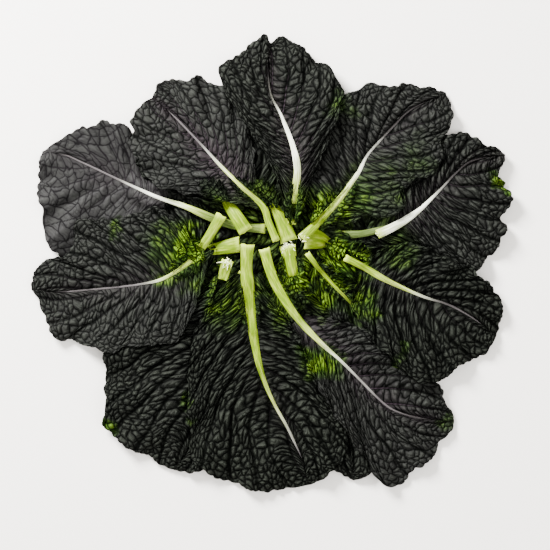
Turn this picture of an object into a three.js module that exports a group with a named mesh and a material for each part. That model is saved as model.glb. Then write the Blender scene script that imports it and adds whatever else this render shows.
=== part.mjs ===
import * as THREE from 'three';

// Red mustard greens: nineteen loose leaves, cut at the stalk and laid in a fan, stalk ends to the middle.
// Millimetres, +Z up. The origin is on the surface that the leaves lie on, under the middle of the fan.
// Each leaf is a pale stalk, which runs on as the midrib, and a thin dark blade on both sides of it.

// Blade, stalk and the air between them
const BLADE_THICKNESS = 0.9;
const STALK_PROUD = 0.5; // the stalk's upper face above the blade
const SLOT_GAP = 0.35; // between the stalk and the blade's inner edges
const LAYER_GAP = 0.6; // between a leaf and what it lies on

// Plan of a blade: its foot, how far along the midrib the side veins start, and how they turn
const BASE_WING = 3;
const RIB_SHARE = 0.88; // of the blade's length, the part that the midrib reaches
const EVEN_VEINS = 0.7; // of the midrib, the part that the side veins share evenly
const LAST_VEINS = 6; // the higher, the fewer side veins start on the rest
const VEIN_SWEEP = 1.15; // over 1, side veins leave the midrib steeply and turn towards the tip
const LOBE_DEPTH = 1.3;

// Ruffles of the margin and the puffing between side veins
const RUFFLE = 4.5;
const RUFFLE_TURN = 2.05; // radians from one side vein to the next
const RUFFLE_LAG = 2; // radians from the midrib to the margin
const SIDE_TURN = 1.7; // radians between the blade's two sides
const FRILL = 3.5; // extra ruffle of the narrow wings beside the stalk
const FRILL_SHARE = 0.31; // of the margin's length
const CUP = 4;
const CUP_START = 0.4; // of the margin's length, where the cup and the ruffle are whole
const QUILT = 1.1;
const QUILT_REACH = 1.2; // over 1, the puffing ends before the margin

// Stalk section, in shares of its width and depth for the ring
const RIB_TIP_WIDTH = 1.4;
const STALK_FALL = 5; // the higher, the more sudden its narrowing
const STALK_DEPTH = 0.42; // of its width
const STALK_END = 0.6; // how far the stalk reaches into the last narrow part of its slot
const STALK_RING = [[0.5, 0], [0.46, 0.5], [0.2, 1], [-0.2, 1], [-0.46, 0.5], [-0.5, 0]];
const BARE_STEP = 14;

// Half the length over which a line's direction is averaged
const RIB_REACH = 14;
const MARGIN_REACH = 6;

// How a leaf settles on the ones below it
const MAP_HALF = 270;
const MAP_CELL = 1.5;
const DROP_HEIGHT = 45;
const SETTLE_STEPS = 420;
const SLACKNESS = 0.5;
const WEIGHT_STEP = 0.14;
const STALK_STIFFNESS = 8; // against 1 for the blade
const LAST_PUSHES = 60;
const SMALL = 1e-7; // depths and areas below this count as none

const GOLDEN_ANGLE = 2.39996;

const MM_PER_PIXEL = 0.95;
const MIDDLE_X = 271.8; // the middle of the heap in the photograph, in pixels
const MIDDLE_Y = 263.4;

// Points picked on the photograph, in pixels, as whole millimetres from the middle of the heap
const photo = (points) =>
  points.map(([x, y]) => [
    Math.round(MM_PER_PIXEL * (x - MIDDLE_X)),
    Math.round(MM_PER_PIXEL * (MIDDLE_Y - y)),
  ]);

// The leaves from the lowest to the topmost. rib runs from the cut end of the stalk to the leaf's tip, and
// bare is the length with no blade. stalk is the width at the cut end, which halves at the share narrow of
// the midrib. left and right are the blade's margins, seen from the cut end.
const LEAVES = [
  {
    name: 'middle_low', bare: 10, stalk: 6, narrow: 0.2, rows: 12, columns: 3, arch: 0,
    rib: [[106, 30], [84, 33], [55, 34], [20, 32], [-20, 32], [-60, 36], [-98, 40]],
    left: [[94, 4], [68, -18], [32, -32], [-10, -38], [-48, -34], [-78, -12], [-94, 14]],
    right: [[94, 52], [66, 64], [32, 72], [-8, 74], [-48, 70], [-80, 60]],
  },
  {
    name: 'east_low', bare: 24, stalk: 7.5, narrow: 0.4, rows: 12, columns: 3, arch: 2,
    rib: [[66, 27], [90, 29], [120, 38], [152, 55], [184, 70], [223, 77]],
    left: [[94, 47], [122, 66], [155, 84], [188, 93], [211, 88]],
    right: [[104, 14], [131, 13], [165, 22], [193, 39], [214, 60]],
  },
  {
    name: 'south_west_low', bare: 18, stalk: 8, narrow: 0.4, rows: 12, columns: 3, arch: 2,
    rib: [[-28, -10], [-50, -36], [-80, -69], [-112, -101], [-139, -132], [-162, -154]],
    left: [[-38, -50], [-62, -90], [-92, -126], [-122, -153], [-147, -163]],
    right: [[-68, -28], [-102, -54], [-128, -80], [-147, -110], [-158, -135]],
  },
  {
    name: 'west_inner', bare: 24, stalk: 13.5, narrow: 0.25, rows: 12, columns: 3, arch: 4,
    rib: [[-31, 18], [-47, 15], [-64, 12], [-89, 8], [-120, 4], [-159, 5]],
    left: [[-60, -6], [-76, -24], [-101, -34], [-125, -31], [-146, -16]],
    right: [[-60, 32], [-74, 46], [-98, 52], [-126, 46], [-148, 26]],
  },
  {
    name: 'south_inner', bare: 12, stalk: 14.5, narrow: 0.17, rows: 14, columns: 3, arch: 3,
    rib: [[15, 16], [18, -1], [24, -27], [40, -68], [57, -116], [70, -158], [78, -207]],
    left: [[36, 6], [52, -14], [72, -52], [97, -92], [112, -130], [112, -168], [101, -196]],
    right: [[4, -8], [0, -42], [10, -82], [22, -125], [34, -163], [53, -192]],
  },
  {
    name: 'south_east_inner', bare: 14, stalk: 5, narrow: 0.5, rows: 12, columns: 3, arch: 4,
    rib: [[34, 9], [44, -4], [60, -22], [86, -48], [118, -77], [154, -109]],
    left: [[55, 10], [80, -2], [108, -27], [136, -54], [157, -82]],
    right: [[36, -16], [50, -42], [74, -71], [101, -97], [129, -115]],
  },
  {
    name: 'east_inner', bare: 12, stalk: 19, narrow: 0.13, rows: 12, columns: 3, arch: 4,
    rib: [[33, 24], [46, 22], [66, 15], [95, 2], [133, -6], [181, -8]],
    left: [[54, 37], [68, 30], [82, 22], [104, 18], [133, 13], [164, 5]],
    right: [[48, 4], [66, -10], [99, -25], [135, -30], [165, -22]],
  },
  {
    name: 'south_west', bare: 18, stalk: 11, narrow: 0.3, rows: 17, columns: 4, arch: 6,
    rib: [[-42, 2], [-47, -16], [-54, -44], [-60, -74], [-64, -104], [-67, -132], [-72, -158], [-81, -180],
      [-93, -197]],
    left: [[-37, -24], [-28, -50], [-22, -78], [-22, -106], [-26, -135], [-34, -163], [-50, -186],
      [-72, -199]],
    right: [[-66, -22], [-89, -38], [-108, -50], [-129, -61], [-147, -74], [-159, -86], [-159, -106],
      [-158, -126], [-159, -140], [-155, -159], [-144, -171], [-130, -179], [-116, -185], [-104, -193]],
  },
  {
    name: 'east', bare: 22, stalk: 8, narrow: 0.55, rows: 17, columns: 4, arch: 6,
    rib: photo([[378, 234], [398, 224], [417, 212], [428, 202], [442, 188], [456, 173], [473, 160],
      [506, 154]]),
    left: photo([[394, 208], [398, 190], [406, 173], [416, 157], [430, 144], [445, 135], [459, 132],
      [472, 134], [482, 142], [494, 146]]),
    right: photo([[408, 234], [418, 243], [432, 254], [446, 264], [463, 271], [480, 269], [489, 256],
      [500, 248], [501, 238], [508, 226], [501, 216], [508, 209], [514, 199], [509, 190], [499, 184],
      [500, 172], [504, 162]]),
  },
  {
    name: 'west_north_west', bare: 98, stalk: 8.5, narrow: 0.62, rows: 17, columns: 4, arch: 6,
    rib: photo([[264, 229], [240, 227], [215, 219], [185, 207], [157, 197], [122, 181], [100, 171],
      [84, 163], [63, 154], [41, 151]]),
    left: photo([[153, 213], [139, 228], [118, 240], [98, 252], [76, 258], [58, 257], [48, 243],
      [42, 230], [42, 213], [37, 199], [37, 183], [38, 166]]),
    right: photo([[163, 182], [159, 166], [151, 151], [138, 137], [125, 126], [110, 121], [98, 121],
      [88, 128], [78, 127], [66, 136], [52, 143]]),
  },
  {
    name: 'north_west_inner', bare: 30, stalk: 13.5, narrow: 0.25, rows: 12, columns: 3, arch: 4,
    rib: photo([[246, 231], [238, 219], [229, 205], [213, 189], [190, 175], [165, 165], [135, 160]]),
    left: photo([[216, 212], [195, 210], [172, 206], [152, 192], [139, 178]]),
    right: photo([[234, 188], [218, 168], [198, 156], [176, 148], [152, 148]]),
  },
  {
    name: 'north_inner', bare: 26, stalk: 14.5, narrow: 0.27, rows: 12, columns: 3, arch: 4,
    rib: [[16, 22], [10, 39], [1, 56], [-13, 76], [-27, 100], [-38, 136]],
    left: [[-20, 55], [-38, 72], [-52, 94], [-57, 118], [-50, 132]],
    right: [[14, 62], [24, 82], [22, 106], [8, 126], [-16, 137]],
  },
  {
    name: 'south', bare: 26, stalk: 12.5, narrow: 0.62, rows: 17, columns: 4, arch: 8,
    rib: photo([[248, 245], [247, 270], [250, 300], [253, 330], [258, 360], [265, 384], [275, 405],
      [285, 424], [294, 441], [302, 460], [310, 486]]),
    left: photo([[262, 274], [270, 294], [283, 313], [300, 330], [318, 347], [334, 364], [342, 384],
      [346, 405], [350, 428], [347, 449], [338, 465], [326, 477], [314, 484]]),
    right: photo([[230, 276], [216, 293], [204, 312], [195, 332], [191, 352], [189, 374], [188, 396],
      [190, 420], [190, 444], [195, 464], [211, 475], [226, 481], [244, 488], [264, 493], [283, 490]]),
  },
  {
    name: 'north_west', bare: 36, stalk: 7, narrow: 0.6, rows: 17, columns: 4, arch: 8,
    rib: photo([[276, 240], [269, 222], [262, 206], [241, 187], [220, 165], [200, 143], [181, 123],
      [167, 109], [152, 97]]),
    left: photo([[250, 211], [236, 210], [220, 208], [202, 206], [182, 204], [164, 199], [150, 188],
      [142, 170], [134, 155], [129, 141], [133, 130], [131, 119], [139, 105]]),
    right: photo([[263, 196], [258, 184], [255, 168], [254, 151], [252, 133], [248, 116], [238, 99],
      [223, 87], [207, 80], [197, 75], [184, 80], [170, 78], [158, 83]]),
  },
  {
    name: 'north_east', bare: 26, stalk: 9, narrow: 0.57, rows: 17, columns: 4, arch: 8,
    rib: photo([[302, 238], [320, 220], [340, 198], [358, 173], [368, 155], [381, 139], [396, 123],
      [412, 109], [447, 92]]),
    left: photo([[308, 206], [297, 188], [292, 164], [296, 138], [308, 114], [325, 99], [345, 94],
      [358, 89], [369, 83], [385, 84], [397, 86], [407, 82], [420, 86], [434, 88]]),
    right: photo([[346, 224], [365, 217], [383, 219], [397, 214], [403, 203], [401, 193], [409, 183],
      [425, 177], [438, 168], [442, 155], [441, 141], [449, 129], [454, 117], [452, 105]]),
  },
  {
    name: 'south_east', bare: 74, stalk: 10.5, narrow: 0.52, rows: 17, columns: 4, arch: 8,
    rib: photo([[264, 250], [271, 272], [283, 297], [300, 321], [320, 342], [341, 361], [361, 381],
      [381, 401], [397, 412], [424, 419], [455, 421]]),
    left: photo([[318, 316], [336, 320], [357, 325], [381, 337], [403, 352], [425, 370], [441, 388],
      [446, 402], [452, 411]]),
    right: photo([[299, 337], [304, 353], [311, 370], [318, 386], [326, 401], [335, 416], [345, 431],
      [355, 446], [365, 459], [373, 471], [381, 484], [391, 488], [404, 482], [412, 473], [425, 464],
      [436, 454], [441, 441], [452, 432]]),
  },
  {
    name: 'west', bare: 32, stalk: 9.5, narrow: 0.3, rows: 17, columns: 4, arch: 8,
    rib: photo([[221, 216], [211, 234], [199, 251], [188, 263], [174, 273], [159, 280], [139, 284],
      [113, 288], [88, 290], [60, 292], [31, 290]]),
    left: photo([[203, 280], [198, 300], [190, 320], [180, 337], [163, 346], [145, 344], [128, 348],
      [112, 352], [96, 350], [84, 344], [70, 339], [60, 342], [50, 331], [42, 314], [37, 299]]),
    right: photo([[190, 238], [184, 225], [172, 214], [152, 208], [128, 216], [104, 219], [82, 219],
      [73, 230], [74, 245], [61, 256], [47, 259], [36, 269], [31, 280]]),
  },
  {
    name: 'north', bare: 4, stalk: 7.5, narrow: 0.48, rows: 17, columns: 4, arch: 8,
    rib: [[19, 38], [21, 56], [23, 74], [24, 92], [19, 114], [9, 140], [-1, 160], [-4, 186], [-1, 210]],
    left: [[10, 54], [7, 69], [2, 85], [-5, 102], [-15, 116], [-25, 131], [-34, 145], [-43, 159], [-49, 172],
      [-49, 186], [-42, 194], [-29, 200], [-24, 207], [-14, 214], [-6, 218]],
    right: [[31, 54], [34, 69], [40, 84], [47, 100], [53, 114], [59, 129], [64, 144], [68, 161], [61, 178],
      [52, 188], [40, 195], [31, 204], [21, 211], [10, 217]],
  },
  {
    name: 'east_south_east', bare: 16, stalk: 6.5, narrow: 0.6, rows: 17, columns: 4, arch: 8,
    rib: photo([[346, 258], [364, 268], [382, 278], [402, 288], [424, 297], [446, 303], [461, 311],
      [478, 321], [497, 336]]),
    left: photo([[368, 257], [385, 247], [404, 243], [422, 246], [440, 254], [458, 263], [474, 271],
      [487, 281], [496, 291], [502, 301], [503, 312], [500, 324]]),
    right: photo([[358, 278], [352, 295], [353, 312], [364, 325], [371, 338], [380, 350], [393, 361],
      [403, 372], [416, 380], [432, 383], [446, 378], [457, 369], [468, 361], [481, 357], [490, 350]]),
  },
];

const stalkMaterial = new THREE.MeshStandardMaterial({ color: 0xc9dc8a, roughness: 0.45, metalness: 0 });
const bladeMaterial = new THREE.MeshStandardMaterial({ color: 0x2a2a2b, roughness: 0.5, metalness: 0 });

// Heights that the leaves laid so far reach, in square cells round the origin
class HeapMap {
  constructor() {
    this.side = Math.round((2 * MAP_HALF) / MAP_CELL);
    this.tops = new Float64Array(this.side * this.side);
  }

  cell(value) {
    return Math.min(this.side - 1, Math.max(0, Math.floor((value + MAP_HALF) / MAP_CELL)));
  }

  // The lowest height that the underside of a new leaf may have at a point
  support(x, y) {
    const top = this.tops[this.cell(y) * this.side + this.cell(x)];
    return top > 0 ? top + LAYER_GAP : 0;
  }

  // Marks the cell and those round it, so that nothing slips between two samples
  raise(x, y, top) {
    const column = this.cell(x);
    const row = this.cell(y);
    for (let r = Math.max(0, row - 1); r <= Math.min(this.side - 1, row + 1); r += 1) {
      for (let c = Math.max(0, column - 1); c <= Math.min(this.side - 1, column + 1); c += 1) {
        const k = r * this.side + c;
        this.tops[k] = Math.max(this.tops[k], top);
      }
    }
  }
}

// Calls visit with a point and its three weights, for the corners of a triangle and each cell centre in it
function overTriangle([a, b, c], visit) {
  visit(a.x, a.y, [1, 0, 0]);
  visit(b.x, b.y, [0, 1, 0]);
  visit(c.x, c.y, [0, 0, 1]);
  const area = (b.x - a.x) * (c.y - a.y) - (c.x - a.x) * (b.y - a.y);
  if (Math.abs(area) < SMALL) return;
  const firstCell = (low) => (Math.floor(low / MAP_CELL) + 0.5) * MAP_CELL;
  const [left, right] = [Math.min(a.x, b.x, c.x), Math.max(a.x, b.x, c.x)];
  const [low, high] = [Math.min(a.y, b.y, c.y), Math.max(a.y, b.y, c.y)];
  for (let y = firstCell(low); y < high; y += MAP_CELL) {
    for (let x = firstCell(left); x < right; x += MAP_CELL) {
      const wb = ((x - a.x) * (c.y - a.y) - (c.x - a.x) * (y - a.y)) / area;
      const wc = ((b.x - a.x) * (y - a.y) - (x - a.x) * (b.y - a.y)) / area;
      if (wb >= 0 && wc >= 0 && wb + wc <= 1) visit(x, y, [1 - wb - wc, wb, wc]);
    }
  }
}

// A smooth line through points, by distance along it, with its direction averaged over a short reach
function smoothLine(points, reach) {
  const line = new THREE.SplineCurve(points.map(([x, y]) => new THREE.Vector2(x, y)));
  line.arcLengthDivisions = 400;
  const length = line.getLength();
  const at = (distance) => line.getPointAt(THREE.MathUtils.clamp(distance / length, 0, 1));
  const onward = (distance) => at(distance + reach).sub(at(distance - reach)).normalize();
  return { length, at, onward };
}

const leftOf = (direction) => new THREE.Vector2(-direction.y, direction.x);

// Lays out one leaf seen from above: the rib stations, the blade's rows of points and their own free shape
function drawLeaf(leaf, order) {
  const line = smoothLine(leaf.rib, RIB_REACH);
  const phase = order * GOLDEN_ANGLE;
  const bladeLength = line.length - leaf.bare;
  const ribEnd = leaf.bare + RIB_SHARE * bladeLength;
  const stalkWidth = (distance) => {
    const fall = (distance / (leaf.narrow * ribEnd)) ** STALK_FALL;
    return RIB_TIP_WIDTH + (leaf.stalk - RIB_TIP_WIDTH) / (1 + fall);
  };
  const stalkDepth = (distance) => STALK_DEPTH * stalkWidth(distance) + BLADE_THICKNESS;

  const heights = []; // free heights, one for each station of the rib and each point of the blade
  const links = [];
  const addHeight = (value) => heights.push(value) - 1;
  const link = (a, b, stiffness) => links.push([a, b, stiffness]);

  const bareSteps = Math.max(1, Math.round(leaf.bare / BARE_STEP));
  const distances = Array.from({ length: bareSteps }, (_, k) => (leaf.bare * k) / bareSteps);
  for (let row = 0; row <= leaf.rows; row += 1) {
    const share = row / leaf.rows;
    const start = EVEN_VEINS * share + (1 - EVEN_VEINS) * share ** LAST_VEINS;
    distances.push(leaf.bare + (ribEnd - leaf.bare) * start);
  }

  const archAt = (distance) => {
    const share = THREE.MathUtils.clamp((distance - leaf.bare) / bladeLength, 0, 1);
    return leaf.arch * Math.sin(Math.PI * share);
  };
  const stations = distances.map((distance) => {
    const height = addHeight(stalkDepth(distance) + archAt(distance));
    const onward = line.onward(distance);
    return { distance, centre: line.at(distance), onward, across: leftOf(onward), height };
  });
  for (let k = 1; k < stations.length; k += 1) {
    link(stations[k - 1].height, stations[k].height, STALK_STIFFNESS);
  }

  // Where a blade's inner edge is, beside the stalk
  const innerEdge = (station, sign) => {
    const aside = stalkWidth(station.distance) / 2 + SLOT_GAP;
    return station.centre.clone().addScaledVector(station.across, sign * aside);
  };

  // A row runs along a side vein from the stalk's edge out to a lobe or a notch of the margin
  const rowOf = (row, sign, margin) => {
    const share = row / leaf.rows;
    const station = stations[bareSteps + row];
    const last = row === leaf.rows;
    const start = last ? station.centre : innerEdge(station, sign);
    const lobe = Math.cos(Math.PI * row) * LOBE_DEPTH * Math.sin(Math.PI * share);
    const end = margin.at(share * margin.length);
    end.addScaledVector(leftOf(margin.onward(share * margin.length)), sign * lobe);
    const aside = end.clone().sub(start).dot(station.across);
    const ahead = end.clone().sub(start).dot(station.onward);
    const points = [];
    for (let column = 0; column <= leaf.columns; column += 1) {
      const t = column / leaf.columns;
      const spot = start.clone().addScaledVector(station.across, aside * t);
      spot.addScaledVector(station.onward, ahead * t ** VEIN_SWEEP);
      const frill = FRILL * Math.max(0, 1 - share / FRILL_SHARE);
      const whole = Math.min(1, share / CUP_START);
      const turn = RUFFLE_TURN * row + SIDE_TURN * sign + RUFFLE_LAG * t + phase;
      const ruffle = (RUFFLE * whole + frill) * t * t * (1 + Math.sin(turn));
      const cup = CUP * Math.sin(Math.PI * t) * whole;
      const quilt = row % 2 ? QUILT * Math.sin(Math.PI * Math.min(1, QUILT_REACH * t)) : 0;
      const root = stalkDepth(station.distance) + archAt(station.distance);
      const rim = BLADE_THICKNESS + archAt(station.distance + ahead * t);
      const free = root + (rim - root) * t + ruffle + cup + quilt;
      points.push({ x: spot.x, y: spot.y, free, drop: BLADE_THICKNESS });
    }
    return points;
  };

  const foot = stations[bareSteps];
  const tip = leaf.rib[leaf.rib.length - 1];
  const sides = [[1, leaf.left], [-1, leaf.right]].map(([sign, outline]) => {
    const start = innerEdge(foot, sign).addScaledVector(foot.across, sign * BASE_WING);
    return { sign, margin: smoothLine([start.toArray(), ...outline, tip], MARGIN_REACH), rows: [] };
  });
  for (const side of sides) {
    for (let row = 0; row <= leaf.rows; row += 1) {
      const shared = row === leaf.rows && side.sign < 0;
      const points = shared ? sides[0].rows[row] : rowOf(row, side.sign, side.margin);
      if (!shared) {
        points[0].height = stations[bareSteps + row].height;
        for (const point of points.slice(1)) point.height = addHeight(point.free);
      }
      side.rows.push(points);
      for (let column = 1; column <= leaf.columns; column += 1) {
        link(points[column - 1].height, points[column].height, 1);
        if (row > 0) link(side.rows[row - 1][column].height, points[column].height, 1);
      }
    }
  }
  return { stations, stalkWidth, stalkDepth, sides, heights, links };
}

// The blade's upper face as triangles, each a list of three points, counter-clockwise from above
function bladeTriangles(drawn) {
  const triangles = [];
  for (const { sign, rows } of drawn.sides) {
    for (let row = 1; row < rows.length; row += 1) {
      for (let column = 1; column < rows[row].length; column += 1) {
        const [a, b] = [rows[row - 1][column - 1], rows[row][column - 1]];
        const [c, d] = [rows[row][column], rows[row - 1][column]];
        const pair = [[a, b, d], [b, c, d]];
        for (const triangle of pair) triangles.push(sign > 0 ? triangle : triangle.toReversed());
      }
    }
  }
  return triangles;
}

// The ground that the stalk covers, as triangles between its two edges
function stalkFootprint(drawn) {
  const edge = (station, sign) => {
    const spot = station.centre.clone();
    spot.addScaledVector(station.across, (sign * drawn.stalkWidth(station.distance)) / 2);
    return { x: spot.x, y: spot.y, height: station.height, drop: drawn.stalkDepth(station.distance) };
  };
  const triangles = [];
  for (let k = 1; k < drawn.stations.length; k += 1) {
    const [a, b] = [edge(drawn.stations[k - 1], 1), edge(drawn.stations[k - 1], -1)];
    const [c, d] = [edge(drawn.stations[k], -1), edge(drawn.stations[k], 1)];
    triangles.push([a, b, c], [a, c, d]);
  }
  return triangles;
}

// Lets a leaf sink on to the heap, bending smoothly, and returns the height of each of its points
function settle(drawn, footprint, heap) {
  const { heights: free, links } = drawn;
  const lift = new Float64Array(free.length).fill(DROP_HEIGHT);
  const touches = [];
  for (const corners of footprint) {
    const at = corners.map((corner) => corner.height);
    overTriangle(corners, (x, y, weights) => {
      const under = corners.map((corner) => free[corner.height] - corner.drop);
      const need = heap.support(x, y) - weights.reduce((sum, w, k) => sum + w * under[k], 0);
      const square = weights.reduce((sum, w) => sum + w * w, 0);
      touches.push({ at, weights, need, square });
    });
  }
  const push = () => {
    let worst = 0;
    for (const { at: [a, b, c], weights: [wa, wb, wc], need, square } of touches) {
      const missing = need - (wa * lift[a] + wb * lift[b] + wc * lift[c]);
      if (missing > 0) {
        worst = Math.max(worst, missing);
        lift[a] += (missing * wa) / square;
        lift[b] += (missing * wb) / square;
        lift[c] += (missing * wc) / square;
      }
    }
    return worst;
  };
  for (let step = 0; step < SETTLE_STEPS; step += 1) {
    const sums = new Float64Array(free.length);
    const counts = new Float64Array(free.length);
    for (const [a, b, stiffness] of links) {
      sums[a] += stiffness * lift[b];
      sums[b] += stiffness * lift[a];
      counts[a] += stiffness;
      counts[b] += stiffness;
    }
    for (let k = 0; k < lift.length; k += 1) {
      lift[k] += SLACKNESS * (sums[k] / counts[k] - lift[k]) - WEIGHT_STEP;
    }
    push();
  }
  for (let pass = 0; pass < LAST_PUSHES && push() > SMALL; pass += 1);
  return Array.from(free, (value, k) => value + lift[k]);
}

// Closes an upper face with the same face lower down and walls round every open edge
function thickSheet(tops, faces, thickness) {
  const count = tops.length;
  const positions = tops.flatMap(([x, y, z]) => [x, y, z]);
  for (const [x, y, z] of tops) positions.push(x, y, z - thickness);
  const index = [];
  const open = new Map();
  for (const [a, b, c] of faces) {
    index.push(a, b, c, a + count, c + count, b + count);
    for (const [from, to] of [[a, b], [b, c], [c, a]]) {
      if (!open.delete(`${to},${from}`)) open.set(`${from},${to}`, [from, to]);
    }
  }
  for (const [from, to] of open.values()) {
    index.push(to, from, from + count, to, from + count, to + count);
  }
  const geometry = new THREE.BufferGeometry();
  geometry.setAttribute('position', new THREE.Float32BufferAttribute(positions, 3));
  geometry.setIndex(index);
  geometry.computeVertexNormals();
  return geometry;
}

function bladeGeometry(drawn, z, toLocal) {
  const order = new Map();
  const tops = [];
  const number = (point) => {
    if (!order.has(point)) {
      order.set(point, tops.length);
      const [x, y] = toLocal(point.x, point.y);
      tops.push([x, y, z[point.height]]);
    }
    return order.get(point);
  };
  const faces = bladeTriangles(drawn).map((triangle) => triangle.map(number));
  return thickSheet(tops, faces, BLADE_THICKNESS);
}

// A six-sided rod: broad and nearly flat above, narrower and flat below
function stalkGeometry(drawn, z, toLocal) {
  const [beforeEnd, end] = drawn.stations.slice(-2);
  const used = drawn.stations.slice(0, -1).map((station) => ({
    centre: station.centre,
    across: station.across,
    width: drawn.stalkWidth(station.distance),
    depth: drawn.stalkDepth(station.distance) + STALK_PROUD,
    top: z[station.height] + STALK_PROUD,
  }));
  const lastWhole = used[used.length - 1];
  used.push({
    centre: beforeEnd.centre.clone().lerp(end.centre, STALK_END),
    across: beforeEnd.across,
    width: (lastWhole.width + 2 * SLOT_GAP) * (1 - STALK_END) - 2 * SLOT_GAP,
    depth: lastWhole.depth * (1 - STALK_END) + BLADE_THICKNESS * STALK_END,
    top: THREE.MathUtils.lerp(z[beforeEnd.height], z[end.height], STALK_END) + STALK_PROUD * (1 - STALK_END),
  });
  const positions = [];
  for (const { centre, across, width, depth, top } of used) {
    for (const [aside, down] of STALK_RING) {
      const spot = centre.clone().addScaledVector(across, aside * width);
      positions.push(...toLocal(spot.x, spot.y), top - down * depth);
    }
  }
  const index = [];
  const n = STALK_RING.length;
  for (let k = 0; k + 1 < used.length; k += 1) {
    for (let s = 0; s < n; s += 1) {
      const [a, b] = [k * n + s, k * n + ((s + 1) % n)];
      index.push(a, b + n, b, a, a + n, b + n);
    }
  }
  const last = (used.length - 1) * n;
  for (let s = 1; s + 1 < n; s += 1) {
    index.push(0, s, s + 1, last, last + s + 1, last + s);
  }
  const geometry = new THREE.BufferGeometry();
  geometry.setAttribute('position', new THREE.Float32BufferAttribute(positions, 3));
  geometry.setIndex(index);
  geometry.computeVertexNormals();
  return geometry;
}

const greens = new THREE.Group();
const heap = new HeapMap();
LEAVES.forEach((leaf, order) => {
  const drawn = drawLeaf(leaf, order);
  const footprint = [...bladeTriangles(drawn), ...stalkFootprint(drawn)];
  const z = settle(drawn, footprint, heap);
  for (const corners of footprint) {
    overTriangle(corners, (x, y, weights) => {
      const top = weights.reduce((sum, w, k) => sum + w * z[corners[k].height], 0);
      heap.raise(x, y, top + STALK_PROUD);
    });
  }

  // The leaf's own frame: its cut end at the origin and its tip out along +X
  const [start, tip] = [leaf.rib[0], leaf.rib[leaf.rib.length - 1]];
  const heading = Math.atan2(tip[1] - start[1], tip[0] - start[0]);
  const [cos, sin] = [Math.cos(heading), Math.sin(heading)];
  const toLocal = (x, y) => {
    const [dx, dy] = [x - start[0], y - start[1]];
    return [cos * dx + sin * dy, cos * dy - sin * dx];
  };
  const whole = new THREE.Group();
  whole.position.set(start[0], start[1], 0);
  whole.rotation.z = heading;
  const stalk = new THREE.Mesh(stalkGeometry(drawn, z, toLocal), stalkMaterial);
  stalk.name = `${leaf.name}_stalk`;
  const blade = new THREE.Mesh(bladeGeometry(drawn, z, toLocal), bladeMaterial);
  blade.name = `${leaf.name}_blade`;
  whole.add(stalk, blade);
  greens.add(whole);
});

export default greens;
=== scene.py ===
"""Red mustard greens: nineteen loose leaves, laid in a fan on a pale table, stalk ends to the middle."""

import math
from typing import NamedTuple

import bpy
import numpy as np
from bpy.props import FloatProperty, IntProperty, PointerProperty
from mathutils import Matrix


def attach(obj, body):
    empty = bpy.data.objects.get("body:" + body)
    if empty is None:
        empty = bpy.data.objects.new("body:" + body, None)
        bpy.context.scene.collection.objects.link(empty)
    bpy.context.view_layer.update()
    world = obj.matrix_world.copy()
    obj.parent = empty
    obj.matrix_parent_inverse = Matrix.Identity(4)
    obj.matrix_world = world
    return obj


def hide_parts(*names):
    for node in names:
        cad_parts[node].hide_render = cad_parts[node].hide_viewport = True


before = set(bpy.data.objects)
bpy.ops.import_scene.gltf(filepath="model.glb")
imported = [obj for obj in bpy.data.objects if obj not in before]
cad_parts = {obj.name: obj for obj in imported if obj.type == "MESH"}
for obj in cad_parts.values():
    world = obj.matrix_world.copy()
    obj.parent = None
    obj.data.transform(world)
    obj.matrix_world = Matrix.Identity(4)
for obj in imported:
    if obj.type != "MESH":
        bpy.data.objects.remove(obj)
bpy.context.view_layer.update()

bl_info = {
    "name": "Red mustard greens",
    "version": (1, 0, 0),
    "blender": (4, 5, 0),
    "location": "3D View > Sidebar > Greens",
    "description": "Builds a fan of crinkled red mustard leaves on a pale table",
    "category": "Add Mesh",
}

MM = 0.001

# Plan of a leaf in millimetres, as in the solid model
BLADE_THICKNESS = 0.9
STALK_PROUD = 0.5
SLOT_GAP = 0.35
BASE_WING = 3
RIB_SHARE = 0.88
EVEN_VEINS = 0.7
LAST_VEINS = 6
VEIN_SWEEP = 1.15
LOBE_DEPTH = 1.3
RIB_TIP_WIDTH = 1.4
STALK_FALL = 5
STALK_DEPTH = 0.42
BARE_STEP = 14
RIB_REACH = 14
MARGIN_REACH = 6
LINE_STEPS = 400
GOLDEN_ANGLE = 2.39996

# The pale part of a midrib, against its solid
RIB_FALL = 4.2
SEEN_SHARE = 0.94
HIDE_OVER = 5

# The photograph's scale, and the middle of the heap in it, in pixels
MM_PER_PIXEL = 0.95
MIDDLE_X = 271.8
MIDDLE_Y = 263.4

# Square cells that record which leaf lies over which, and how high the laid leaves reach
MAP_HALF = 252
MAP_CELL = 1.5


class Leaf(NamedTuple):
    """A leaf as laid, in millimetres, and how it looks."""

    name: str
    bare: float  # length of stalk with no blade
    stalk: float  # its width at the cut end
    narrow: float  # share of the midrib at which that width has halved
    rows: int
    columns: int
    rib: tuple  # from the cut end to the tip
    left: tuple  # the margins, seen from the cut end
    right: tuple
    savoy: float = 0.9  # how strongly the blade puffs up
    bloom: float = 0.3  # how grey it is
    purple: float = 0.0
    hidden: tuple = (900, 999)  # where the blade grows over the stalk
    plate: float = 1.0  # size of the puffed plates
    dull: float = 0.0
    green_to: float = 88.0  # distance from the middle at which the stalk turns from green to white
    slim: float = 0.8  # the pale part of the midrib narrows at this share of narrow


def photo(*points):
    """Points on the photograph, in pixels, as whole millimetres from the middle of the heap."""
    return tuple(
        (round(MM_PER_PIXEL * (x - MIDDLE_X)), round(MM_PER_PIXEL * (MIDDLE_Y - y))) for x, y in points
    )


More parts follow.
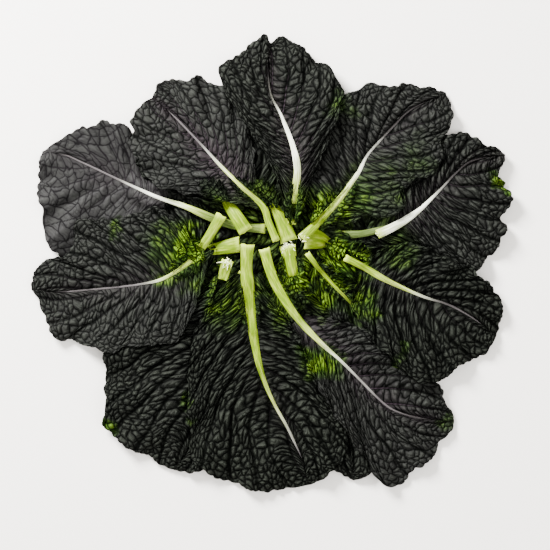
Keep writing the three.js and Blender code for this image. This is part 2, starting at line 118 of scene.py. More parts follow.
# From the lowest to the topmost
LEAVES = (
    Leaf(
        "middle_low", bare=10, stalk=6, narrow=0.2, rows=12, columns=3,
        rib=((106, 30), (84, 33), (55, 34), (20, 32), (-20, 32), (-60, 36), (-98, 40)),
        left=((94, 4), (68, -18), (32, -32), (-10, -38), (-48, -34), (-78, -12), (-94, 14)),
        right=((94, 52), (66, 64), (32, 72), (-8, 74), (-48, 70), (-80, 60)),
        hidden=(-20, 999), dull=1, slim=1.25,
    ),
    Leaf(
        "east_low", bare=24, stalk=7.5, narrow=0.4, rows=12, columns=3,
        rib=((66, 27), (90, 29), (120, 38), (152, 55), (184, 70), (223, 77)),
        left=((94, 47), (122, 66), (155, 84), (188, 93), (211, 88)),
        right=((104, 14), (131, 13), (165, 22), (193, 39), (214, 60)),
        dull=1,
    ),
    Leaf(
        "south_west_low", bare=18, stalk=8, narrow=0.4, rows=12, columns=3,
        rib=((-28, -10), (-50, -36), (-80, -69), (-112, -101), (-139, -132), (-162, -154)),
        left=((-38, -50), (-62, -90), (-92, -126), (-122, -153), (-147, -163)),
        right=((-68, -28), (-102, -54), (-128, -80), (-147, -110), (-158, -135)),
    ),
    Leaf(
        "west_inner", bare=24, stalk=13.5, narrow=0.25, rows=12, columns=3,
        rib=((-31, 18), (-47, 15), (-64, 12), (-89, 8), (-120, 4), (-159, 5)),
        left=((-60, -6), (-76, -24), (-101, -34), (-125, -31), (-146, -16)),
        right=((-56, 40), (-70, 62), (-96, 76), (-124, 66), (-148, 34)),
        hidden=(34, 999), green_to=300, slim=1.25,
    ),
    Leaf(
        "south_inner", bare=12, stalk=14.5, narrow=0.17, rows=14, columns=3,
        rib=((15, 16), (18, -1), (24, -27), (40, -68), (57, -116), (70, -158), (78, -207)),
        left=((36, 6), (52, -14), (72, -52), (97, -92), (112, -130), (112, -168), (101, -196)),
        right=((4, -8), (0, -42), (10, -82), (22, -125), (34, -163), (53, -192)),
        hidden=(30, 999), green_to=300, slim=1.25,
    ),
    Leaf(
        "south_east_inner", bare=14, stalk=5, narrow=0.5, rows=12, columns=3,
        rib=((34, 9), (44, -4), (60, -22), (86, -48), (118, -77), (154, -109)),
        left=((55, 10), (80, -2), (108, -27), (136, -54), (157, -82)),
        right=((36, -16), (50, -42), (74, -71), (101, -97), (129, -115)),
        green_to=300,
    ),
    Leaf(
        "east_inner", bare=12, stalk=19, narrow=0.13, rows=12, columns=3,
        rib=((33, 24), (46, 22), (66, 15), (95, 2), (133, -6), (181, -8)),
        left=((54, 37), (68, 30), (82, 22), (104, 18), (133, 13), (164, 5)),
        right=((48, 4), (66, -10), (99, -25), (135, -30), (165, -22)),
        hidden=(26, 999), green_to=300, slim=1.25,
    ),
    Leaf(
        "south_west", bare=18, stalk=11, narrow=0.3, rows=17, columns=4,
        rib=((-42, 2), (-47, -16), (-54, -44), (-60, -74), (-64, -104), (-67, -132), (-72, -158),
            (-81, -180), (-93, -197)),
        left=((-37, -24), (-28, -50), (-22, -78), (-22, -106), (-26, -135), (-34, -163), (-50, -186),
            (-72, -199)),
        right=((-66, -22), (-89, -38), (-108, -50), (-129, -61), (-147, -74), (-159, -86), (-159, -106),
            (-158, -126), (-159, -140), (-155, -159), (-144, -171), (-130, -179), (-116, -185),
            (-104, -193)),
        savoy=0.9, bloom=0.3, purple=0, hidden=(8, 999), slim=1.25,
    ),
    Leaf(
        "east", bare=22, stalk=8, narrow=0.55, rows=17, columns=4,
        rib=photo((378, 234), (398, 224), (417, 212), (428, 202), (442, 188), (456, 173), (473, 160),
            (506, 154)),
        left=photo((394, 208), (398, 190), (406, 173), (416, 157), (430, 144), (445, 135), (459, 132),
            (472, 134), (482, 142), (494, 146)),
        right=photo((408, 234), (418, 243), (432, 254), (446, 264), (463, 271), (480, 269), (489, 256),
            (500, 248), (501, 238), (508, 226), (501, 216), (508, 209), (514, 199), (509, 190),
            (499, 184), (500, 172), (504, 162)),
        savoy=0.9, bloom=0.42, purple=0.3, slim=0.66,
    ),
    Leaf(
        "west_north_west", bare=98, stalk=8.5, narrow=0.62, rows=17, columns=4,
        rib=photo((264, 229), (240, 227), (215, 219), (185, 207), (157, 197), (122, 181), (100, 171),
            (84, 163), (63, 154), (41, 151)),
        left=photo((153, 213), (139, 228), (118, 240), (98, 252), (76, 258), (58, 257), (48, 243),
            (42, 230), (42, 213), (37, 199), (37, 183), (38, 166)),
        right=photo((163, 182), (159, 166), (151, 151), (138, 137), (125, 126), (110, 121), (98, 121),
            (88, 128), (78, 127), (66, 136), (52, 143)),
        savoy=0.16, bloom=0.72, purple=0.2, plate=1.9, dull=0.85, slim=0.66,
    ),
    Leaf(
        "north_west_inner", bare=30, stalk=13.5, narrow=0.25, rows=12, columns=3,
        rib=photo((246, 231), (238, 219), (229, 205), (213, 189), (190, 175), (165, 165), (135, 160)),
        left=((-53, 55), (-73, 61), (-95, 68), (-114, 78), (-126, 87)),
        right=photo((234, 188), (218, 168), (198, 156), (176, 148), (152, 148)),
        hidden=(44, 999), green_to=300, slim=1.25,
    ),
    Leaf(
        "north_inner", bare=26, stalk=14.5, narrow=0.27, rows=12, columns=3,
        rib=((16, 22), (10, 39), (1, 56), (-13, 76), (-27, 100), (-38, 136)),
        left=((-20, 55), (-38, 72), (-52, 94), (-57, 118), (-50, 132)),
        right=((14, 62), (24, 82), (22, 106), (8, 126), (-16, 137)),
        hidden=(40, 999), green_to=300, slim=1.25,
    ),
    Leaf(
        "south", bare=26, stalk=12.5, narrow=0.62, rows=17, columns=4,
        rib=photo((248, 245), (247, 270), (250, 300), (253, 330), (258, 360), (265, 384), (275, 405),
            (285, 424), (294, 441), (302, 460), (310, 486)),
        left=photo((262, 274), (270, 294), (283, 313), (300, 330), (318, 347), (334, 364), (342, 384),
            (346, 405), (350, 428), (347, 449), (338, 465), (326, 477), (314, 484)),
        right=photo((230, 276), (216, 293), (204, 312), (195, 332), (191, 352), (189, 374), (188, 396),
            (190, 420), (190, 444), (195, 464), (211, 475), (226, 481), (244, 488), (264, 493),
            (283, 490)),
        savoy=0.9, bloom=0.22, purple=0.1, plate=1.05, green_to=150,
    ),
    Leaf(
        "north_west", bare=36, stalk=7, narrow=0.6, rows=17, columns=4,
        rib=photo((276, 240), (269, 222), (262, 206), (241, 187), (220, 165), (200, 143), (181, 123),
            (167, 109), (152, 97)),
        left=((-22, 54), (-34, 57), (-49, 60), (-66, 64), (-85, 67), (-102, 71), (-116, 78), (-124, 91),
            (-131, 103), (-136, 116), (-132, 127), (-134, 137), (-126, 150)),
        right=photo((263, 196), (258, 184), (255, 168), (254, 151), (252, 133), (248, 116), (238, 99),
            (223, 87), (207, 80), (197, 75), (184, 80), (170, 78), (158, 83)),
        savoy=0.42, bloom=0.5, purple=0.8, plate=1.3, green_to=74, slim=0.74,
    ),
    Leaf(
        "north_east", bare=26, stalk=9, narrow=0.57, rows=17, columns=4,
        rib=photo((302, 238), (320, 220), (340, 198), (358, 173), (368, 155), (381, 139), (396, 123),
            (412, 109), (447, 92)),
        left=photo((308, 206), (297, 188), (292, 164), (296, 138), (308, 114), (325, 99), (345, 94),
            (358, 89), (369, 83), (385, 84), (397, 86), (407, 82), (420, 86), (434, 88)),
        right=photo((346, 224), (365, 217), (383, 219), (397, 214), (403, 203), (401, 193), (409, 183),
            (425, 177), (438, 168), (442, 155), (441, 141), (449, 129), (454, 117), (452, 105)),
        savoy=0.75, bloom=0.48, purple=0.2, plate=0.95, green_to=84, slim=0.7,
    ),
    Leaf(
        "south_east", bare=74, stalk=10.5, narrow=0.52, rows=17, columns=4,
        rib=photo((264, 250), (271, 272), (283, 297), (300, 321), (320, 342), (341, 361), (361, 381),
            (381, 401), (397, 412), (424, 419), (455, 421)),
        left=photo((318, 316), (336, 320), (357, 325), (381, 337), (403, 352), (425, 370), (441, 388),
            (446, 402), (452, 411)),
        right=photo((299, 337), (304, 353), (311, 370), (318, 386), (326, 401), (335, 416), (345, 431),
            (355, 446), (365, 459), (373, 471), (381, 484), (391, 488), (404, 482), (412, 473),
            (425, 464), (436, 454), (441, 441), (452, 432)),
        savoy=0.75, bloom=0.5, purple=0.5, plate=1.1, green_to=98, slim=0.74,
    ),
    Leaf(
        "west", bare=32, stalk=9.5, narrow=0.3, rows=17, columns=4,
        rib=photo((221, 216), (211, 234), (199, 251), (188, 263), (174, 273), (159, 280), (139, 284),
            (113, 288), (88, 290), (60, 292), (31, 290)),
        left=photo((203, 280), (198, 300), (190, 320), (180, 337), (163, 346), (145, 344), (128, 348),
            (112, 352), (96, 350), (84, 344), (70, 339), (60, 342), (50, 331), (42, 314), (37, 299)),
        right=photo((190, 238), (184, 225), (172, 214), (152, 208), (128, 216), (104, 219), (82, 219),
            (73, 230), (74, 245), (61, 256), (47, 259), (36, 269), (31, 280)),
        savoy=0.6, bloom=0.45, purple=0.25, hidden=(36, 50), green_to=100, slim=1.1,
    ),
    Leaf(
        "north", bare=4, stalk=7.5, narrow=0.48, rows=17, columns=4,
        rib=((19, 38), (21, 56), (23, 74), (24, 92), (19, 114), (9, 140), (-1, 160), (-4, 186),
            (-1, 210)),
        left=((10, 54), (7, 69), (2, 85), (-5, 102), (-15, 116), (-25, 131), (-34, 145), (-43, 159),
            (-49, 172), (-49, 186), (-42, 194), (-29, 200), (-24, 207), (-14, 214), (-6, 218)),
        right=((31, 54), (34, 69), (40, 84), (47, 100), (53, 114), (59, 129), (64, 144), (68, 161),
            (61, 178), (52, 188), (40, 195), (31, 204), (21, 211), (10, 217)),
        savoy=0.75, bloom=0.35, purple=0.6, hidden=(-20, 17), green_to=62, slim=1.15,
    ),
    Leaf(
        "east_south_east", bare=16, stalk=6.5, narrow=0.6, rows=17, columns=4,
        rib=photo((346, 258), (364, 268), (382, 278), (402, 288), (424, 297), (446, 303), (461, 311),
            (478, 321), (497, 336)),
        left=photo((368, 257), (385, 247), (404, 243), (422, 246), (440, 254), (458, 263), (474, 271),
            (487, 281), (496, 291), (502, 301), (503, 312), (500, 324)),
        right=photo((358, 278), (352, 295), (353, 312), (364, 325), (371, 338), (380, 350), (393, 361),
            (403, 372), (416, 380), (432, 383), (446, 378), (457, 369), (468, 361), (481, 357),
            (490, 350)),
        savoy=0.9, bloom=0.25, purple=0.1, green_to=128, slim=0.72,
    ),
)


class LeafSettings(bpy.types.PropertyGroup):
    """Measures shared by the stalks and the blades."""

    blade_step: FloatProperty(
        name="Blade Step", description="Distance between the points of a blade, along its margin",
        default=0.0017, min=0.0008, unit="LENGTH",
    )
    inner_step: FloatProperty(
        name="Inner Step", description="The same distance on the leaves that lie mostly under others",
        default=0.0024, min=0.0008, unit="LENGTH",
    )
    thickness: FloatProperty(
        name="Thickness", description="Thickness of a blade", default=0.0005, min=0.0002, unit="LENGTH",
    )
    blister: FloatProperty(
        name="Blister Height", description="How high a blade puffs up between its veins",
        default=0.0031, min=0, unit="LENGTH",
    )
    vein_depth: FloatProperty(
        name="Vein Depth", description="How deep the side veins lie", default=0.0024, min=0, unit="LENGTH",
    )
    crinkle: FloatProperty(
        name="Crinkle", description="Height of the finest crinkles", default=0.0006, min=0, unit="LENGTH",
    )
    frill: FloatProperty(
        name="Frill", description="Height of the frills along a margin",
        default=0.0026, min=0, unit="LENGTH",
    )
    hub_frill: FloatProperty(
        name="Inner Frill", description="Height of the frills round the stalks in the middle",
        default=0.0042, min=0, unit="LENGTH",
    )
    gap: FloatProperty(
        name="Gap", description="Air between a leaf and what it lies on",
        default=0.0004, min=0, unit="LENGTH",
    )
    seed: IntProperty(name="Seed", description="Changes the pattern of the blisters", default=3, min=0)


class StageSettings(bpy.types.PropertyGroup):
    """Table, lights and camera."""

    field: FloatProperty(
        name="Field", description="Width of table that the camera sees", default=0.5225, unit="LENGTH",
    )
    distance: FloatProperty(
        name="Distance", description="Height of the camera over the table", default=2.4, unit="LENGTH",
    )
    key: FloatProperty(name="Key", description="Strength of the main light", default=235.0, unit="POWER")
    fill: FloatProperty(name="Fill", description="Brightness all round", default=1.9, min=0)


class Line:
    """A smooth line through points in plan, by distance along it; its direction is averaged over a reach."""

    def __init__(self, points, reach):
        self.points = np.array(points, float)
        self.reach = reach
        self.turns = np.linspace(0, 1, LINE_STEPS + 1)
        steps = np.hypot(*np.diff(self.spot(self.turns), axis=0).T)
        self.distances = np.concatenate(([0.0], np.cumsum(steps)))
        self.length = self.distances[-1]

    def spot(self, turn):
        last = len(self.points) - 1
        place = np.clip(turn, 0, 1) * last
        first = np.minimum(np.floor(place).astype(int), last - 1)
        w = (place - first)[..., None]
        before, a = self.points[np.maximum(first - 1, 0)], self.points[first]
        b, after = self.points[first + 1], self.points[np.minimum(first + 2, last)]
        out, into = (b - before) / 2, (after - a) / 2
        return ((2 * a - 2 * b + out + into) * w + (3 * b - 3 * a - 2 * out - into)) * w * w + out * w + a

    def at(self, distance):
        return self.spot(np.interp(distance, self.distances, self.turns))

    def onward(self, distance):
        step = self.at(np.asarray(distance) + self.reach) - self.at(np.asarray(distance) - self.reach)
        return step / np.hypot(step[..., 0], step[..., 1])[..., None]


def left_of(direction):
    return np.stack((-direction[..., 1], direction[..., 0]), -1)


def ease(value, low, high):
    """0 below low, 1 above high and a soft step between."""
    share = np.clip((value - low) / (high - low), 0, 1)
    return share * share * (3 - 2 * share)


def through(places, count):
    """Weights that carry a smooth curve through count + 1 evenly spaced values."""
    place = np.clip(places, 0, 1) * count
    first = np.minimum(np.floor(place).astype(int), count - 1)
    w = place - first
    shares = (-0.5 * w + w**2 - 0.5 * w**3, 1 - 2.5 * w**2 + 1.5 * w**3,
              0.5 * w + 2 * w**2 - 1.5 * w**3, -0.5 * w**2 + 0.5 * w**3)
    weights = np.zeros((len(place), count + 1))
    for offset, share in zip((-1, 0, 1, 2), shares):
        np.add.at(weights, (np.arange(len(place)), np.clip(first + offset, 0, count)), share)
    return weights


def smooth_rise(x, known_x, known_y):
    """A smooth curve through unevenly spaced values, which never overshoots them by much."""
    slopes = np.gradient(known_y, known_x)
    k = np.clip(np.searchsorted(known_x, x, side="right") - 1, 0, len(known_x) - 2)
    span = known_x[k + 1] - known_x[k]
    w = np.clip((x - known_x[k]) / span, 0, 1)
    a = 2 * w**3 - 3 * w**2 + 1
    b = w**3 - 2 * w**2 + w
    c = w**3 - w**2
    return a * known_y[k] + b * span * slopes[k] + (1 - a) * known_y[k + 1] + c * span * slopes[k + 1]


class Plan:
    """One leaf seen from above, in millimetres, with the heights that the solid model gives it."""

    def __init__(self, leaf, order):
        self.leaf = leaf
        self.phase = order * GOLDEN_ANGLE
        self.line = Line(leaf.rib, RIB_REACH)
        self.rib_end = leaf.bare + RIB_SHARE * (self.line.length - leaf.bare)
        foot = self.edge(np.array(float(leaf.bare)), 1, SLOT_GAP + BASE_WING)
        other = self.edge(np.array(float(leaf.bare)), -1, SLOT_GAP + BASE_WING)
        self.margins = {
            1: Line([foot, *leaf.left, leaf.rib[-1]], MARGIN_REACH),
            -1: Line([other, *leaf.right, leaf.rib[-1]], MARGIN_REACH),
        }
        self.read_heights()

    def width(self, distance):
        fall = (distance / (self.leaf.narrow * self.rib_end)) ** STALK_FALL
        return RIB_TIP_WIDTH + (self.leaf.stalk - RIB_TIP_WIDTH) / (1 + fall)

    def seen_width(self, distance):
        """The pale part of the midrib narrows sooner than its solid does."""
        fall = (distance / (self.leaf.slim * self.leaf.narrow * self.rib_end)) ** RIB_FALL
        return RIB_TIP_WIDTH + (SEEN_SHARE * self.leaf.stalk - RIB_TIP_WIDTH) / (1 + fall)

    def hidden(self, distance):
        """1 where the blade grows over the stalk and hides it."""
        start, end = self.leaf.hidden
        covered = ease(distance, start - HIDE_OVER, start + HIDE_OVER)
        return covered * (1 - ease(distance, end - HIDE_OVER, end + HIDE_OVER))

    def edge(self, distance, sign, aside):
        across = left_of(self.line.onward(distance))
        reach = self.width(distance) / 2 + aside
        return self.line.at(distance) + sign * reach[..., None] * across

    def station(self, u):
        start = EVEN_VEINS * u + (1 - EVEN_VEINS) * u**LAST_VEINS
        return self.leaf.bare + (self.rib_end - self.leaf.bare) * start

    def rows(self, u, t, start, end):
        """Points of one half of the blade: u from foot to tip, t from the midrib to the margin."""
        onward = self.line.onward(self.station(u))
        across = left_of(onward)
        aside = np.sum((end - start) * across, -1)[:, None] * t
        ahead = np.sum((end - start) * onward, -1)[:, None] * t**VEIN_SWEEP
        return start[:, None] + aside[..., None] * across[:, None] + ahead[..., None] * onward[:, None]

    def margin_end(self, sign, u, extra=0.0):
        margin = self.margins[sign]
        distance = u * margin.length
        lobe = np.cos(math.pi * self.leaf.rows * u) * LOBE_DEPTH * np.sin(math.pi * u) + extra
        return margin.at(distance) + sign * lobe[:, None] * left_of(margin.onward(distance))

    def solid_rows(self, sign, u, t):
        """The same points as the solid blade's."""
        start = self.edge(self.station(u), sign, SLOT_GAP)
        start[-1] = self.line.at(self.rib_end)
        return self.rows(u, t, start, self.margin_end(sign, u))

    def read_heights(self):
        leaf = self.leaf
        u = np.arange(leaf.rows + 1) / leaf.rows
        t = np.arange(leaf.columns + 1) / leaf.columns
        blade = node_points(leaf.name + "_blade")
        self.heights = {}
        for sign in (1, -1):
            spots = self.solid_rows(sign, u, t)
            if sign < 0:
                spots[-1] = self.solid_rows(1, u, t)[-1]
            self.heights[sign] = top_near(blade, spots)
        steps = max(1, round(leaf.bare / BARE_STEP))
        bare = leaf.bare * np.arange(steps) / steps
        stalk = node_points(leaf.name + "_stalk")
        edges = np.stack([self.edge(bare, sign, 0) for sign in (1, -1)], 1)
        on_bare = top_near(stalk, edges).mean(1) - STALK_PROUD
        self.known = np.concatenate((bare, self.station(u)))
        self.known_z = np.concatenate((on_bare, self.heights[1][:, 0]))

    def rib_height(self, distance):
        return smooth_rise(distance, self.known, self.known_z)

    def base_height(self, sign, u, t):
        leaf = self.leaf
        grid = through(u, leaf.rows) @ self.heights[sign] @ through(t, leaf.columns).T
        missing = self.rib_height(self.station(u)) - grid[:, 0]
        return grid + missing[:, None] * (1 - t) ** 2


def node_points(name):
    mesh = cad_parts[name].data
    flat = np.empty(len(mesh.vertices) * 3, np.float32)
    mesh.vertices.foreach_get("co", flat)
    return flat.reshape(-1, 3).astype(float) / MM


def top_near(points, spots, reach=0.5):
    """Height of the highest given point within reach of each spot, or of the nearest one."""
    flat = spots.reshape(-1, 2)
    gaps = np.hypot(flat[:, None, 0] - points[None, :, 0], flat[:, None, 1] - points[None, :, 1])
    near = np.where(gaps < np.maximum(reach, gaps.min(1)[:, None] + 0.01), points[None, :, 2], -1e9)
    return near.max(1).reshape(spots.shape[:-1])


class Ground:
    """A square map of values in plan."""

    def __init__(self):
        self.side = round(2 * MAP_HALF / MAP_CELL)
        self.values = np.zeros((self.side, self.side))

    def cells(self, spots):
        place = np.floor((spots + MAP_HALF) / MAP_CELL).astype(int)
        place = np.clip(place, 0, self.side - 1)
        return place[..., 1], place[..., 0]

    def raise_to(self, spots, tops):
        fresh = np.full_like(self.values, -1.0)
        np.maximum.at(fresh, self.cells(spots.reshape(-1, 2)), tops.ravel())
        self.values = np.maximum(self.values, widest(fresh, 1))

    def read(self, spots):
        return self.values[self.cells(spots)]


def shifted(values, axis, reach):
    """The values moved along an axis by each step up to reach, the end values repeated."""
    pad = [(0, 0)] * values.ndim
    pad[axis] = (reach, reach)
    padded = np.pad(values, pad, mode="edge")
    count = values.shape[axis]
    return [np.take(padded, range(k, k + count), axis) for k in range(2 * reach + 1)]


def widest(values, reach):
    for axis in range(values.ndim):
        values = np.maximum.reduce(shifted(values, axis, reach))
    return values


def mellow(values, reach):
    for axis in range(values.ndim):
        values = sum(shifted(values, axis, reach)) / (2 * reach + 1)
    return values


class Sheet:
    """The points of one blade: rows from foot to tip, columns from the left margin to the right one."""

    TUCK = 0.3  # how far the blade reaches under the stalk, of its width
    EXTRA_COLUMNS = 1.12
    FEWEST_COLUMNS = 8
    BANDS = 0.6  # puffed bands between side veins, of the rows that the solid blade has
    LONG_PLATES = 1.2  # blades with plates at least this large have short ones by the midrib too
    CELL_BY_RIB = 30.0
    SHORT_CELL_BY_RIB = 15.0
    CELL_WIDTH = 5.4
    SCALLOP, SCALLOP_EVERY = 1.7, 15.0
    TOOTH, TOOTH_EVERY = 1.1, 6.3
    NOTCH = 0.65
    RUFFLE_EVERY = 15.5
    SMALL_RUFFLE_EVERY = 8.3

    def __init__(self, plan, step):
        self.plan = plan
        longest = max(margin.length for margin in plan.margins.values())
        self.count = round(longest / step)
        u = np.linspace(0, 1, self.count + 1)
        half = max(self.reach_of(sign) for sign in (1, -1))
        t = np.linspace(0, 1, max(self.FEWEST_COLUMNS, round(half / step * self.EXTRA_COLUMNS)) + 1)
        left, right = self.half(1, u, t), self.half(-1, u, t)
        joined = [np.concatenate((a[:, ::-1], b), 1) for a, b in zip(left, right)]
        self.spots, self.base, self.out, self.vein_place, self.vein_gap, self.rib_gap, self.ruffle = joined
        columns = self.spots.shape[1]
        order = np.arange((self.count + 1) * columns).reshape(self.count + 1, columns)
        order[-1, len(t):] = order[-1, :len(t)][::-1]
        self.order = order
        self.middle = len(t)

    def reach_of(self, sign):
        u = np.linspace(0.2, 0.8, 7)
        ends = self.plan.margin_end(sign, u)
        return np.hypot(*(ends - self.plan.line.at(self.plan.station(u))).T).max()

    def half(self, sign, u, t):
        """Points, solid heights, shares of the way out, net places, gaps to vein and rib, and ruffles."""
        plan = self.plan
        s = u * plan.margins[sign].length
        drift = 5 * np.sin(s / 23 + plan.phase + sign) + 3 * np.sin(s / 9.3 + 2 * plan.phase)
        narrow = np.where(u > 1 - 1 / plan.leaf.rows, (1 - u) * plan.leaf.rows, 1)
        distance = plan.station(u)
        tuck = sign * self.TUCK * plan.seen_width(distance) * narrow
        start = plan.line.at(distance) + tuck[:, None] * left_of(plan.line.onward(distance))
        inner = plan.rows(u, t, start, plan.margin_end(sign, u))
        outer = plan.rows(u, t, start, plan.margin_end(sign, u, self.teeth(sign, u, s, drift)))
        spots = inner + (outer - inner) * (t**5)[:, None]
        reach = np.hypot(*(spots[:, -1] - spots[:, 0]).T)
        away = reach[:, None] * t
        place, near = self.net(sign, u, t, away)
        ruffle = self.ruffles(sign, u, t, s, drift, reach)
        return spots, plan.base_height(sign, u, t), np.broadcast_to(t, away.shape), place, near, away, ruffle

    def teeth(self, sign, u, s, drift):
        """How far the scallops and fine teeth stand out from the margin."""
        scallop = np.abs(np.sin(math.pi * (s + 2 * drift) / self.SCALLOP_EVERY)) - self.NOTCH
        tooth = np.abs(np.sin(math.pi * (s - 1.5 * drift) / self.TOOTH_EVERY + sign)) - self.NOTCH
        tooth = tooth * (0.5 + 0.5 * np.sin(s / 17 + 3 * self.plan.phase))
        fade = ease(u, 0, 0.04) * (1 - ease(u, 0.97, 1))
        return fade * (self.SCALLOP * scallop + self.TOOTH * tooth)

    def ruffles(self, sign, u, t, s, drift, reach):
        """Heights of the ruffles, up to about 1, highest along the margin near the foot of a wide blade."""
        frill_foot = 1 - ease(u, 0.05, 0.3)
        wave = np.sin(2 * math.pi * (s + 1.5 * drift) / self.RUFFLE_EVERY + 2 * sign)[:, None]
        small = np.sin(2 * math.pi * (s - drift) / self.SMALL_RUFFLE_EVERY + self.plan.phase)[:, None]
        wave = wave + 0.6 * small * t
        wide = ease(reach, 8, 30)[:, None]
        ruffle = (0.62 + 0.38 * wave) * (t**3 * (0.55 + 0.45 * frill_foot[:, None])) * (0.5 + 0.5 * wide)
        return ruffle * (ease(u, 0, 0.05) * (1 - ease(u, 0.94, 1)))[:, None]

    def net(self, sign, u, t, away):
        """Places in the net of small veins, one cell to a unit, and the gaps to the nearest side vein."""
        leaf, length = self.plan.leaf, self.plan.margins[sign].length
        bands = self.BANDS * leaf.rows
        bend = 0.13 * np.sin(away / 17 + self.plan.phase + 3 * u[:, None])
        bend = bend + 0.05 * np.sin(away / 6.1 + 9 * u[:, None])
        band = u[:, None] * bands + bend * ease(away, 4, 25) + 0.35 * sign - 1.2 * t
        near = np.abs(band - np.round(band)) / bands * length * (0.62 + 0.38 * t)
        long_cells = self.CELL_BY_RIB if leaf.plate < self.LONG_PLATES else self.SHORT_CELL_BY_RIB
        short_cells = self.CELL_WIDTH * leaf.plate
        place_x = away / (long_cells - (long_cells - short_cells) * 0.8 * t)
        place_y = (band / bands * length * (0.66 + 0.34 * t)) / short_cells
        return np.stack((place_x + 40 * (sign > 0), place_y, np.zeros(away.shape)), -1), near

    def faces(self):
        a, b = self.order[:-1, :-1], self.order[:-1, 1:]
        c, d = self.order[1:, 1:], self.order[1:, :-1]
        first = np.stack((a, b, c), -1).reshape(-1, 3)
        second = np.stack((a, c, d), -1).reshape(-1, 3)
        faces = np.concatenate((first, second))
        whole = (faces[:, 0] != faces[:, 1]) & (faces[:, 1] != faces[:, 2]) & (faces[:, 2] != faces[:, 0])
        return faces[whole]


def new_mesh(name, points, faces):
    mesh = bpy.data.meshes.new(name)
    mesh.vertices.add(len(points))
    mesh.vertices.foreach_set("co", np.asarray(points, np.float32).ravel())
    mesh.loops.add(faces.size)
    mesh.loops.foreach_set("vertex_index", faces.astype(np.int32).ravel())
    mesh.polygons.add(len(faces))
    mesh.polygons.foreach_set("loop_start", np.arange(0, faces.size, faces.shape[1], dtype=np.int32))
    mesh.polygons.foreach_set("use_smooth", np.ones(len(faces), bool))
    mesh.update(calc_edges=True)
    if mesh.validate():
        raise RuntimeError(f"{name} has faces that don't hold together")
    return mesh


def open_edges(faces):
    """Edges that only one face has, each in that face's direction."""
    edges = np.concatenate([faces[:, [k, (k + 1) % 3]] for k in range(3)])
    size = faces.max() + 1
    forward = edges[:, 0] * size + edges[:, 1]
    backward = edges[:, 1] * size + edges[:, 0]
    return edges[~np.isin(forward, backward)]


def closed_sheet(faces, count):
    """The upper faces, the same faces turned over below them, and walls between the two."""
    rim = open_edges(faces)
    a, b = rim[:, 0], rim[:, 1]
    walls = np.concatenate((np.stack((b, a, a + count), -1), np.stack((b, a + count, b + count), -1)))
    return np.concatenate((faces, faces[:, ::-1] + count, walls))


def add_attribute(mesh, name, values):
    kind, field = ("FLOAT_VECTOR", "vector") if values.ndim > 1 else ("FLOAT", "value")
    made = mesh.attributes.new(name, kind, "POINT")
    made.data.foreach_set(field, np.asarray(values, np.float32).ravel())


def piece(name, mesh, node):
    made = bpy.data.objects.new(name, mesh)
    bpy.context.scene.collection.objects.link(made)
    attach(made, "root")
    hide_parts(node)
    return made


class Term:
    """A value in a node tree, with the usual arithmetic."""

    def __init__(self, graph, socket):
        self.graph = graph
        self.socket = socket

    def maths(self, operation, *values):
        return self.graph.node("ShaderNodeMath", {"operation": operation}, dict(enumerate(values)))

    def __add__(self, other):
        return self.maths("ADD", self, other)

    def __radd__(self, other):
        return self.maths("ADD", other, self)

    def __sub__(self, other):
        return self.maths("SUBTRACT", self, other)

    def __rsub__(self, other):
        return self.maths("SUBTRACT", other, self)

    def __mul__(self, other):
        return self.maths("MULTIPLY", self, other)

    def __rmul__(self, other):
        return self.maths("MULTIPLY", other, self)

    def __truediv__(self, other):
        return self.maths("DIVIDE", self, other)

    def least(self, other):
        return self.maths("MINIMUM", self, other)

    def most(self, other):
        return self.maths("MAXIMUM", self, other)


class Graph:
    """Builds one node tree."""

    def __init__(self, tree):
        self.tree = tree

    def socket(self, sockets, key):
        if isinstance(key, int):
            return sockets[key]
        for socket in sockets:
            if key in (socket.identifier, socket.name) and socket.enabled:
                return socket
        raise KeyError(key)

    def node(self, kind, settings, values, output=0):
        made = self.tree.nodes.new(kind)
        for name, value in settings.items():
            setattr(made, name, value)
        for key, value in values.items():
            socket = self.socket(made.inputs, key)
            if isinstance(value, Term):
                self.tree.links.new(value.socket, socket)
            else:
                socket.default_value = value
        return Term(self, self.socket(made.outputs, output))

    def ease(self, value, low, high, start=0.0, end=1.0):
        values = {"Value": value, "From Min": low, "From Max": high, "To Min": start, "To Max": end}
        return self.node("ShaderNodeMapRange", {"interpolation_type": "SMOOTHSTEP"}, values, "Result")

    def noise(self, vector, scale, detail=2.0, roughness=0.5):
        values = {"Vector": vector, "Scale": scale, "Detail": detail, "Roughness": roughness}
        return self.node("ShaderNodeTexNoise", {}, values, "Fac")

    def cells(self, vector, scale, randomness=0.85):
        """Distance to the nearest edge between the cells of an uneven net."""
        settings = {"voronoi_dimensions": "2D", "feature": "DISTANCE_TO_EDGE"}
        values = {"Vector": vector, "Scale": scale, "Randomness": randomness}
        return self.node("ShaderNodeTexVoronoi", settings, values, "Distance")

    def vectors(self, operation, *values):
        return self.node("ShaderNodeVectorMath", {"operation": operation}, dict(enumerate(values)))

    def object_place(self):
        return self.node("ShaderNodeTexCoord", {}, {}, "Object")

    def wander(self, vector, scale, detail, reach):
        """The vector moved by a soft noise, by up to half the reach along each axis."""
        values = {"Vector": vector, "Scale": scale, "Detail": detail}
        noise = self.node("ShaderNodeTexNoise", {}, values, "Color")
        noise = self.vectors("SUBTRACT", noise, (0.5, 0.5, 0.5))
        return self.vectors("ADD", vector, self.vectors("MULTIPLY", noise, reach))

    def stored(self, name, output="Fac"):
        """A value or vector that the mesh keeps at its points."""
        return self.node("ShaderNodeAttribute", {"attribute_name": name}, {}, output)

    def blend(self, share, first, second):
        """Between two colours."""
        values = {"Factor_Float": share, "A_Color": first, "B_Color": second}
        return self.node("ShaderNodeMix", {"data_type": "RGBA"}, values, "Result_Color")


